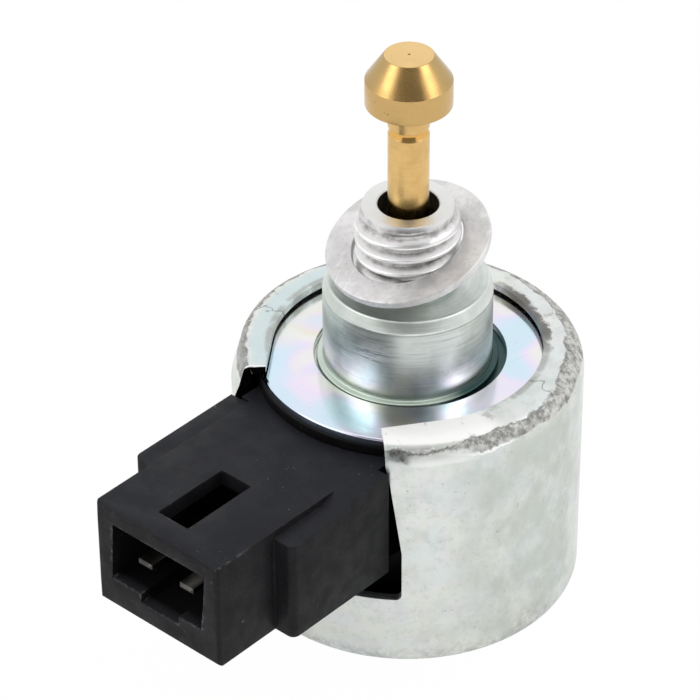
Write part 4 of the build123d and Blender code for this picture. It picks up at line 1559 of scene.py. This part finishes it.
def zinc_neck(colours):
    """Plated neck with fine turning rings and streaks, painted reflections on the barrel, worn thread crests painted
    as highlights, painted light and shade on the taper and thread, and painted shade in the plate's hole.
    """
    tree, shader, place = new_finish("zinc_neck", Metallic=1.0, Anisotropic=0.35)
    sizes = bpy.context.scene.solenoid_neck
    round_axis(tree, shader)
    radius, height, angle = around(tree, place)
    colour = use(tree, "Plating Tints", Vector=place, Colour=(*colours.neck_zinc, 1), Scale=150.0, Amount=0.08)[0]
    marks = use(tree, "Turning Marks", Vector=place, Spacing=0.19 * MM, Wander=110.0)
    colour = mixed(tree, fit(tree, marks[0], 0.35, 0.65, 0.0, 0.45), colour, (0.43, 0.47, 0.435))
    cloud = noise(tree, place, 330.0, 4.0, 0.65)
    colour = mixed(tree, fit(tree, cloud, 0.42, 0.68, 0.0, 0.6), colour, (0.47, 0.515, 0.47))
    on_barrel = fit(tree, height, 31.9 * MM, 32.2 * MM, 1.0, 0.0)
    # painted reflections, light and dark, in soft lengthwise patches on the barrel: (from angle, to angle, soft edge,
    # low, high, share, colour)
    torn = fit(tree, noise(tree, place, 420.0, 4.0, 0.7), 0.34, 0.6, 0.45, 1.0)
    barrel_reflections = (
        (-60.0, -24.0, 8.0, 26.0, 33.0, 0.8, (0.88, 0.92, 0.88)),
        (-16.0, 4.0, 8.0, 25.5, 32.0, 0.85, (0.36, 0.42, 0.41)),
        (11.0, 24.0, 7.0, 25.5, 30.5, 0.95, (0.98, 1.0, 1.0)),
        (28.0, 58.0, 8.0, 26.8, 28.4, 0.5, (0.42, 0.44, 0.43)),
        (28.0, 58.0, 8.0, 24.0, 25.9, 0.9, (0.90, 0.97, 0.91)),
        (28.0, 58.0, 8.0, 29.0, 31.6, 0.4, (0.74, 0.79, 0.75)),
        (63.0, 76.0, 6.0, 25.6, 29.5, 0.95, (0.98, 1.0, 1.0)),
    )
    for first, last, soft, low, high, part, shade in barrel_reflections:
        patch = between(tree, angle, first, last, soft)
        patch = product(tree, patch, between(tree, height, low * MM, high * MM, MM), torn, on_barrel, part)
        colour = mixed(tree, patch, colour, shade)
    high_left = product(
        tree, between(tree, angle, -16.0, 32.0, 8.0), between(tree, height, 28.8 * MM, 31.4 * MM, 0.5 * MM)
    )
    streaks = product(tree, marks[1], on_barrel, fit(tree, high_left, 0.0, 1.0, 0.45, 1.0))
    colour = mixed(tree, product(tree, streaks, 0.85), colour, (0.12, 0.14, 0.16))
    torn_line = fit(tree, noise(tree, stretched(tree, place, (1, 1, 14)), 260.0, 3.0, 0.7), 0.54, 0.6)
    colour = mixed(tree, product(tree, torn_line, high_left, 0.75), colour, (0.2, 0.24, 0.26))
    rings = fit(tree, noise(tree, stretched(tree, place, (0.6, 0.6, 20)), 300.0, 3.0, 0.7), 0.56, 0.64)
    colour = mixed(tree, product(tree, rings, on_barrel, 0.3), colour, (0.9, 0.93, 0.9))
    # the tapered band, painted lighter, with a painted highlight line at both its edges and a painted shade line under
    # it
    taper_low = sizes.shoulder - sizes.taper
    lit_taper = between(tree, height, taper_low, sizes.shoulder + 0.05 * MM, 0.05 * MM)
    colour = mixed(tree, product(tree, lit_taper, torn, 0.3), colour, (0.84, 0.87, 0.83))
    # painted shade: a dark line under the tapered band
    under = between(tree, height, taper_low - 0.3 * MM, taper_low - 0.16 * MM, 0.04 * MM)
    colour = mixed(tree, product(tree, under, torn, 0.6), colour, (0.3, 0.34, 0.32))
    edge_highlights = compute(
        tree,
        "MAXIMUM",
        between(tree, height, taper_low - 0.08 * MM, taper_low + 0.06 * MM, 0.04 * MM),
        product(tree, between(tree, height, sizes.shoulder - 0.18 * MM, sizes.shoulder - 0.04 * MM, 0.04 * MM), 0.7),
    )
    edge_highlights = product(tree, edge_highlights, fit(tree, cloud, 0.3, 0.55, 1.0, 0.3))
    colour = mixed(tree, edge_highlights, colour, (1.0, 1.0, 1.0))
    # thread: silvery, with bright worn crests painted as highlights, and grey, pinkish roots darkened with painted
    # shade
    threaded = fit(tree, height, 34 * MM, 34.6 * MM)
    silver = product(tree, threaded, fit(tree, noise(tree, place, 900.0, 4.0, 0.65), 0.3, 0.6, 0.6, 1.0))
    colour = mixed(tree, silver, colour, (0.80, 0.785, 0.785))
    below_end = fit(tree, height, sizes.top - 0.5 * MM, sizes.top - 0.2 * MM, 1.0, 0.0)
    root_shade = product(tree, threaded, below_end, fit(tree, radius, 4.35 * MM, 4.75 * MM, 1.0, 0.0))
    root_shade = product(tree, root_shade, fit(tree, noise(tree, place, 800.0, 4.0, 0.7), 0.36, 0.64, 0.1, 0.75))
    colour = mixed(tree, root_shade, colour, (0.33, 0.31, 0.31))
    # painted highlight on the worn crests
    crest = product(tree, threaded, fit(tree, radius, 4.86 * MM, 4.96 * MM))
    crest = product(tree, crest, fit(tree, noise(tree, place, 650.0, 3.0, 0.6), 0.34, 0.5, 0.25, 1.0))
    colour = mixed(tree, crest, colour, (1.0, 1.0, 1.0))
    on_end = fit(tree, height, sizes.top - 0.06 * MM, sizes.top - 0.02 * MM)
    colour = mixed(tree, product(tree, on_end, 0.7), colour, (0.83, 0.845, 0.83))
    # collar: pale green, with painted shade in the plate's hole on the right
    low = fit(tree, height, 25.0 * MM, 26.3 * MM, 1.0, 0.0)
    colour = mixed(tree, product(tree, low, 0.6), colour, (0.66, 0.755, 0.67))
    # painted shade in the gap of the plate's hole
    stain = product(
        tree,
        fit(tree, height, 24.86 * MM, 25.0 * MM, 1.0, 0.0),
        between(tree, angle, 68.0, 165.0, 14.0),
    )
    colour = mixed(tree, product(tree, stain, 0.97), colour, (0.03, 0.07, 0.07))
    rough = fit(tree, noise(tree, place, 300.0, 3.0), 0.3, 0.7, 0.3, 0.42)
    worn = noise(tree, place, 1100.0, 4.0, 0.65)
    relief = total(tree, marks[0], product(tree, worn, threaded, 2.2))
    connect(
        tree,
        shader,
        Base_Color=colour,
        Metallic=compute(tree, "SUBTRACT", 1.0, product(tree, edge_highlights, 0.65)),
        Roughness=compute(tree, "MAXIMUM", rough, product(tree, on_end, 0.42)),
        Normal=bump(tree, relief, 0.016 * MM, 0.8),
    )


def soft_aluminium(colours):
    """Matte washer with faint rubs, small dents, a few bright scratches, and painted shade on its front."""
    tree, shader, place = new_finish("soft_aluminium", Metallic=1.0)
    cloud = fit(tree, noise(tree, place, 260.0, 4.0, 0.65), 0.35, 0.65)
    toned = mixed(tree, cloud, colours.aluminium, [0.84 * c for c in colours.aluminium])
    grain = noise(tree, place, 1700.0, 4.0, 0.7)
    toned = mixed(tree, fit(tree, grain, 0.46, 0.7, 0.0, 0.4), toned, (0.55, 0.54, 0.54))
    radius, height, angle = around(tree, place)
    greenish = product(tree, between(tree, angle, 90.0, 200.0, 30.0), fit(tree, noise(tree, place, 210.0), 0.4, 0.6))
    toned = mixed(tree, product(tree, greenish, 0.4), toned, (0.74, 0.78, 0.75))
    # painted shade on the washer's front, in patches
    front = product(tree, between(tree, angle, 30.0, 85.0, 16.0), fit(tree, noise(tree, place, 380.0, 3.0), 0.36, 0.6))
    toned = mixed(tree, product(tree, front, 0.4), toned, (0.52, 0.51, 0.505))
    rubbed = stretched(tree, place, (1.0, 0.3, 1.0), (0, 0, 0.9))
    rubs = product(
        tree,
        fit(tree, noise(tree, rubbed, 900.0, 3.0, 0.6), 0.52, 0.6),
        fit(tree, noise(tree, place, 190.0), 0.48, 0.58),
    )
    marked = mixed(tree, product(tree, rubs, 0.4), toned, (0.97, 0.97, 0.97))
    # bright slanting scratches: (angle, radius in mm, slant in degrees per mm, length in mm)
    for turned_to, reach, slant, run in ((-16, 6.5, 5.0, 1.1), (-25, 7.2, 8.0, 0.5), (28, 6.9, -7.0, 1.0), (97, 7.3, 8.0, 0.6)):
        out = fit(tree, radius, (reach - run) * MM, (reach + run) * MM, -run, run)
        off = compute(tree, "SUBTRACT", angle, compute(tree, "MULTIPLY_ADD", out, slant, float(turned_to)))
        nick = product(tree, between(tree, off, -0.4, 0.4, 0.4), between(tree, radius, (reach - run) * MM, (reach + run) * MM, 0.1 * MM))
        marked = mixed(tree, product(tree, nick, 0.6), marked, (1.0, 1.0, 1.0))
    specks = use(tree, "Specks", Vector=place, Scale=1500.0, Amount=0.085)[0]
    marked = mixed(tree, product(tree, specks, 0.5), marked, (0.36, 0.35, 0.34))
    dents = noise(tree, place, 1100.0, 4.0, 0.6)
    connect(
        tree,
        shader,
        Base_Color=marked,
        Roughness=fit(tree, noise(tree, place, 700.0, 3.0), 0.3, 0.7, 0.5, 0.62),
        Normal=bump(tree, dents, 0.03 * MM, 0.8),
    )


def turned_brass(colours):
    """Brass with fine turning rings, tarnish, a few dark spots and a fresh cut in the groove, with painted shade on
    the head, the cone and the stem's foot and a painted highlight on the tip.
    """
    tree, shader, place = new_finish("turned_brass", Metallic=1.0, Anisotropic=0.3)
    sizes = bpy.context.scene.solenoid_pin
    round_axis(tree, shader)
    radius, height, angle = around(tree, place)
    cloud = fit(tree, noise(tree, place, 420.0, 4.0, 0.6), 0.35, 0.7)
    toned = mixed(tree, cloud, colours.brass, [c * f for c, f in zip(colours.brass, (0.84, 0.82, 0.8))])
    marks = use(tree, "Turning Marks", Vector=place, Spacing=0.16 * MM, Wander=120.0)
    lined = mixed(tree, fit(tree, marks[0], 0.35, 0.7, 0.0, 0.3), toned, [0.74 * c for c in colours.brass])
    facing = add(tree, "SeparateXYZ", {0: add(tree, "TexCoord", out=1)}, out=2)
    # painted shade: the stem's top and the head darker where they don't face up
    head = product(tree, fit(tree, height, sizes.groove_high, sizes.head_low), fit(tree, facing, 0.8, 0.95, 1.0, 0.0))
    lined = mixed(tree, product(tree, head, 0.75), lined, [0.7 * c for c in colours.brass])
    # painted shade in a brown band on the cone, deeper on the sides turned from the camera
    cone = product(tree, head, fit(tree, facing, 0.3, 0.5))
    lined = mixed(tree, product(tree, cone, 0.4), lined, (0.58, 0.34, 0.11))
    sides = compute(tree, "SUBTRACT", 1.0, between(tree, angle, -8.0, 92.0, 14.0))
    lined = mixed(tree, product(tree, cone, sides, 0.55), lined, (0.42, 0.32, 0.15))
    # painted highlight on the flat tip facing up
    lit_tip = product(tree, fit(tree, height, sizes.cone_low, sizes.cone_low + MM), fit(tree, facing, 0.9, 0.97))
    lined = mixed(tree, product(tree, lit_tip, 0.6), lined, (0.90, 0.645, 0.30))
    neck_top = bpy.context.scene.solenoid_neck.top
    shade = fit(tree, height, neck_top + 0.3 * MM, neck_top + 2.2 * MM, 1.0, 0.0)
    lined = mixed(tree, product(tree, shade, 0.8), lined, (0.26, 0.185, 0.07))
    # the fresh cut in the groove, its saturated orange partly a painted reflection of the brass in it
    inside = fit(tree, radius, sizes.stem - 0.12 * MM, sizes.stem - 0.04 * MM, 1.0, 0.0)
    cut = product(
        tree, inside, between(tree, height, sizes.groove_low - 0.05 * MM, sizes.groove_high + 0.05 * MM, 0.03 * MM)
    )
    lined = mixed(tree, product(tree, cut, 0.9), lined, (0.75, 0.42, 0.11))
    specks = use(tree, "Specks", Vector=place, Scale=1300.0, Amount=0.075)[0]
    spotted = mixed(tree, product(tree, specks, 0.5), lined, (0.2, 0.12, 0.04))
    dot = product(
        tree, fit(tree, radius, 0.1 * MM, 0.2 * MM, 1.0, 0.0), fit(tree, height, sizes.cone_low, sizes.cone_low + MM)
    )
    spotted = mixed(tree, product(tree, dot, 0.7), spotted, (0.2, 0.12, 0.05))
    rough = fit(tree, noise(tree, place, 400.0, 2.0), 0.3, 0.7, 0.2, 0.3)
    connect(
        tree,
        shader,
        Base_Color=spotted,
        Roughness=compute(tree, "SUBTRACT", rough, product(tree, cut, 0.12)),
        Normal=bump(tree, marks[0], 0.006 * MM, 0.7),
    )


def black_moulding(colours):
    """Black plastic with a fine grain, pale rubbed edges and dust, and faces that turn up painted lighter."""
    tree, shader, place = new_finish("black_moulding", Metallic=0.0, Specular_IOR_Level=0.16)
    sizes = bpy.context.scene.solenoid_connector
    facing = add(tree, "SeparateXYZ", {0: add(tree, "TexCoord", out=1)}, out=2)
    # painted light: faces that turn up are painted lighter
    lit_top = fit(tree, facing, 0.6, 0.9)
    cloud = fit(tree, noise(tree, place, 300.0, 4.0, 0.65), 0.35, 0.75)
    toned = mixed(tree, cloud, colours.plastic, [1.6 * c for c in colours.plastic])
    fine = noise(tree, place, 2600.0, 3.0, 0.6)
    toned = mixed(tree, fit(tree, fine, 0.5, 0.72, 0.0, 0.5), toned, [3.0 * c for c in colours.plastic])
    toned = mixed(tree, product(tree, lit_top, 0.6), toned, (0.021, 0.022, 0.028))
    edges = use(tree, "Rubbed Edges", Vector=place, Width=0.4 * MM)[0]
    front = add(tree, "SeparateXYZ", {0: place}, out=1)
    near_front = fit(tree, front, 2 * MM - sizes.front, 5 * MM - sizes.front, 1.0, 0.12)
    rubbed = mixed(tree, product(tree, edges, near_front, 0.7), toned, colours.worn_plastic)
    # the mouth's inside and the wings' backs lie in shade
    across = add(tree, "SeparateXYZ", {0: place}, out=0)
    high = add(tree, "SeparateXYZ", {0: place}, out=2)
    inside = product(
        tree,
        between(tree, across, -sizes.mouth_half_width - 0.1 * MM, sizes.mouth_half_width + 0.1 * MM, 0.05 * MM),
        between(tree, high, sizes.keyway_low - 0.1 * MM, sizes.mouth_high + 0.1 * MM, 0.05 * MM),
        fit(tree, front, 0.4 * MM - sizes.front, 1.4 * MM - sizes.front),
    )
    back = product(tree, fit(tree, front, -sizes.wing_back - 4 * MM, -sizes.wing_back), compute(tree, "SUBTRACT", 1.0, lit_top))
    rubbed = mixed(tree, compute(tree, "MAXIMUM", inside, product(tree, back, 0.8)), rubbed, (0.0012, 0.0012, 0.0014))
    specks = use(tree, "Specks", Vector=place, Scale=1500.0, Amount=0.07)[0]
    patch = fit(tree, noise(tree, place, 130.0, 2.0), 0.42, 0.6, 0.1, 1.0)
    dusty = mixed(tree, product(tree, specks, patch, 0.45), rubbed, (0.2, 0.2, 0.195))
    connect(
        tree,
        shader,
        Base_Color=dusty,
        Roughness=compute(tree, "MAXIMUM", fit(tree, noise(tree, place, 500.0, 3.0), 0.3, 0.7, 0.45, 0.62), inside),
        Normal=bump(tree, fine, 0.03 * MM, 0.8),
    )


def tinned_blade(colours):
    """Dull tinned brass."""
    tree, shader, place = new_finish("tinned_blade", Metallic=1.0)
    cloud = fit(tree, noise(tree, place, 600.0, 3.0), 0.35, 0.7)
    toned = mixed(tree, cloud, colours.tin, [0.7 * c for c in colours.tin])
    drawn = noise(tree, stretched(tree, place, (1, 0.05, 1)), 3000.0, 2.0)
    connect(
        tree,
        shader,
        Base_Color=toned,
        Roughness=fit(tree, noise(tree, place, 900.0), 0.3, 0.7, 0.35, 0.5),
        Normal=bump(tree, drawn, 0.004 * MM, 0.6),
    )


def plain_finishes(colours):
    """Finishes of the inner pieces, each with its own grain."""
    rows = (
        ("armature_steel", colours.steel, 1.0, 0.32, (1, 1, 6), 900.0),
        ("spring_steel", colours.steel, 1.0, 0.28, (1, 1, 1), 1500.0),
        ("shim_brass", colours.brass, 1.0, 0.3, (1, 1, 1), 1200.0),
        ("seal_rubber", colours.rubber, 0.0, 0.55, (1, 1, 1), 2500.0),
        ("bobbin_nylon", colours.nylon, 0.0, 0.45, (1, 1, 1), 1200.0),
        ("enamelled_wire", colours.enamel, 0.0, 0.25, (0.1, 0.1, 4), 1600.0),
        ("wrapping_tape", colours.tape, 0.0, 0.35, (1, 1, 0.4), 800.0),
    )
    for name, colour, metal, rough, stretch, scale in rows:
        tree, shader, place = new_finish(name, Metallic=metal)
        grain = noise(tree, stretched(tree, place, stretch), scale, 3.0, 0.6)
        toned = mixed(tree, fit(tree, grain, 0.3, 0.7), colour, [0.7 * c for c in colour])
        connect(
            tree,
            shader,
            Base_Color=toned,
            Roughness=fit(tree, noise(tree, place, scale / 3), 0.3, 0.7, rough - 0.06, rough + 0.08),
            Normal=bump(tree, grain, 0.01 * MM, 0.5),
        )


# ---- camera, floor and light

CAMERA_HEADING = 0.735142
CAMERA_RISE = 0.620127
CAMERA_ROLL = -0.0058716
CAMERA_DISTANCE = 0.361919
CAMERA_OFFSET = (0.00558477, -0.02028083)
CAMERA_LENS = 3657.037 / 700 * 36


def camera_axes():
    """The camera's right, up and back directions."""
    heading, rise, roll = CAMERA_HEADING, CAMERA_RISE, CAMERA_ROLL
    right = Vector((cos(heading), sin(heading), 0))
    back = Vector((sin(heading) * cos(rise), -cos(heading) * cos(rise), sin(rise)))
    up = back.cross(right)
    return cos(roll) * right + sin(roll) * up, cos(roll) * up - sin(roll) * right, back


def point_at(made, place, target):
    """Places an object and turns its -Z side to a target."""
    place, target = Vector(place), Vector(target)
    made.location = place
    made.rotation_euler = (target - place).to_track_quat("-Z", "Y").to_euler()


def mirror_rays(tree):
    """Tells the camera's own rays, and those that come off metal and glass."""
    path = tree.nodes.new("ShaderNodeLightPath").outputs
    mirrored = compute(tree, "ADD", path["Is Glossy Ray"], path["Is Transmission Ray"], clamp=True)
    return path["Is Camera Ray"], mirrored


class SOLENOID_OT_stage(bpy.types.Operator):
    """Sets up the camera, the pale floor and the soft lights"""

    bl_idname = "solenoid.stage"
    bl_label = "Camera, Floor and Light"

    def execute(self, context):
        scene = context.scene
        sizes = scene.solenoid_stage
        scene.view_settings.view_transform = "Standard"
        right, up, back = camera_axes()
        camera = bpy.data.objects.new("camera", bpy.data.cameras.new("camera"))
        camera.data.sensor_width = 36
        camera.data.lens = CAMERA_LENS
        camera.data.clip_end = 20
        eye = CAMERA_DISTANCE * back - CAMERA_OFFSET[0] * right - CAMERA_OFFSET[1] * up
        camera.matrix_world = Matrix.Translation(eye) @ Matrix((right, up, back)).transposed().to_4x4()
        scene.collection.objects.link(camera)
        scene.camera = camera
        world = bpy.data.worlds.new("white room")
        scene.world = world
        world.use_nodes = True
        tree = world.node_tree
        room = tree.nodes["Background"]
        seen, mirrored = mirror_rays(tree)
        level = fit(tree, compute(tree, "ADD", seen, mirrored, clamp=True), 0.0, 1.0, sizes.world, 1.0)
        tree.links.new(level, room.inputs["Strength"])
        room.inputs["Color"].default_value = (1, 1, 1, 1)
        bm = bmesh.new()
        bmesh.ops.create_grid(bm, x_segments=4, y_segments=4, size=sizes.floor)
        bmesh.ops.translate(bm, vec=(0, 0, -0.02 * MM), verts=bm.verts)
        floor = make_object("floor", bm)
        paint = bpy.data.materials.new("pale_floor")
        paint.use_nodes = True
        tree = paint.node_tree
        matte = tree.nodes["Principled BSDF"]
        matte.inputs["Roughness"].default_value = 0.9
        grain = noise(tree, add(tree, "TexCoord", out=3), 30.0)
        tree.links.new(mixed(tree, grain, (0.96, 0.96, 0.96), (0.98, 0.98, 0.98)), matte.inputs["Base Color"])
        glow = add(tree, "Emission", {"Color": (1, 1, 1, 1), "Strength": 1.0})
        seen, mirrored = mirror_rays(tree)
        shares = (compute(tree, "MULTIPLY", seen, 0.985), compute(tree, "MULTIPLY", mirrored, 0.5))
        factor = compute(tree, "ADD", *shares, clamp=True)
        both = add(tree, "MixShader", {0: factor, 1: matte.outputs[0], 2: glow})
        tree.links.new(both, tree.nodes["Material Output"].inputs["Surface"])
        floor.data.materials.append(paint)
        target = Vector((0, 0, 25 * MM))
        for name, heading, rise in (("left lamp", -72, 36), ("right lamp", 72, 36)):
            light = bpy.data.lights.new(name, "AREA")
            light.shape = "SQUARE"
            light.size = sizes.lamp_size
            light.energy = sizes.lamp
            lamp = bpy.data.objects.new(name, light)
            turned_by, risen = CAMERA_HEADING + radians(heading), radians(rise)
            way = Vector((sin(turned_by) * cos(risen), -cos(turned_by) * cos(risen), sin(risen)))
            point_at(lamp, target + sizes.lamp_distance * way, target)
            scene.collection.objects.link(lamp)
        bm = bmesh.new()
        bmesh.ops.create_grid(bm, x_segments=1, y_segments=1, size=sizes.card / 2)
        card = make_object("dark_card", bm)
        way = Vector((sin(CAMERA_HEADING) * cos(0.45), -cos(CAMERA_HEADING) * cos(0.45), sin(0.45)))
        point_at(card, target + 0.55 * way, target)
        dark = bpy.data.materials.new("dark_card")
        dark.use_nodes = True
        dark.node_tree.nodes["Principled BSDF"].inputs["Base Color"].default_value = (0.25, 0.25, 0.25, 1)
        dark.node_tree.nodes["Principled BSDF"].inputs["Roughness"].default_value = 0.9
        card.data.materials.append(dark)
        card.visible_camera = False
        card.visible_diffuse = False
        card.visible_shadow = False
        card.visible_transmission = False
        return {"FINISHED"}


class SOLENOID_PT_panel(bpy.types.Panel):
    """Lists the steps and the sizes"""

    bl_idname = "SOLENOID_PT_panel"
    bl_label = "Fuel Shutoff Solenoid"
    bl_space_type = "VIEW_3D"
    bl_region_type = "UI"
    bl_category = "Solenoid"

    def draw(self, context):
        for step in STEPS:
            self.layout.operator(step.bl_idname)
        for attribute, kind in GROUPS.items():
            box = self.layout.box()
            box.label(text=kind.__doc__)
            for name in kind.__annotations__:
                box.prop(getattr(context.scene, attribute), name)


GROUPS = {
    "solenoid_cup": CupSizes,
    "solenoid_plate": PlateSizes,
    "solenoid_neck": NeckSizes,
    "solenoid_washer": WasherSizes,
    "solenoid_pin": PinSizes,
    "solenoid_connector": ConnectorSizes,
    "solenoid_blade": BladeSizes,
    "solenoid_spring": SpringSizes,
    "solenoid_colours": FinishColours,
    "solenoid_stage": StageSizes,
}

STEPS = (
    SOLENOID_OT_stage,
    SOLENOID_OT_finishes,
    SOLENOID_OT_cup,
    SOLENOID_OT_plate,
    SOLENOID_OT_neck,
    SOLENOID_OT_washer,
    SOLENOID_OT_pin,
    SOLENOID_OT_connector,
    SOLENOID_OT_blades,
    SOLENOID_OT_spring,
)


def register():
    """Adds the property groups, the operators and the panel."""
    for kind in (*GROUPS.values(), *STEPS, SOLENOID_PT_panel):
        bpy.utils.register_class(kind)
    for attribute, kind in GROUPS.items():
        setattr(bpy.types.Scene, attribute, PointerProperty(type=kind))


def unregister():
    """Removes them again."""
    for attribute in GROUPS:
        delattr(bpy.types.Scene, attribute)
    for kind in reversed((*GROUPS.values(), *STEPS, SOLENOID_PT_panel)):
        bpy.utils.unregister_class(kind)


def main():
    """Makes the whole solenoid."""
    register()
    for step in STEPS:
        group_name, step_name = step.bl_idname.split(".")
        getattr(getattr(bpy.ops, group_name), step_name)()


if __name__ == "__main__":
    main()
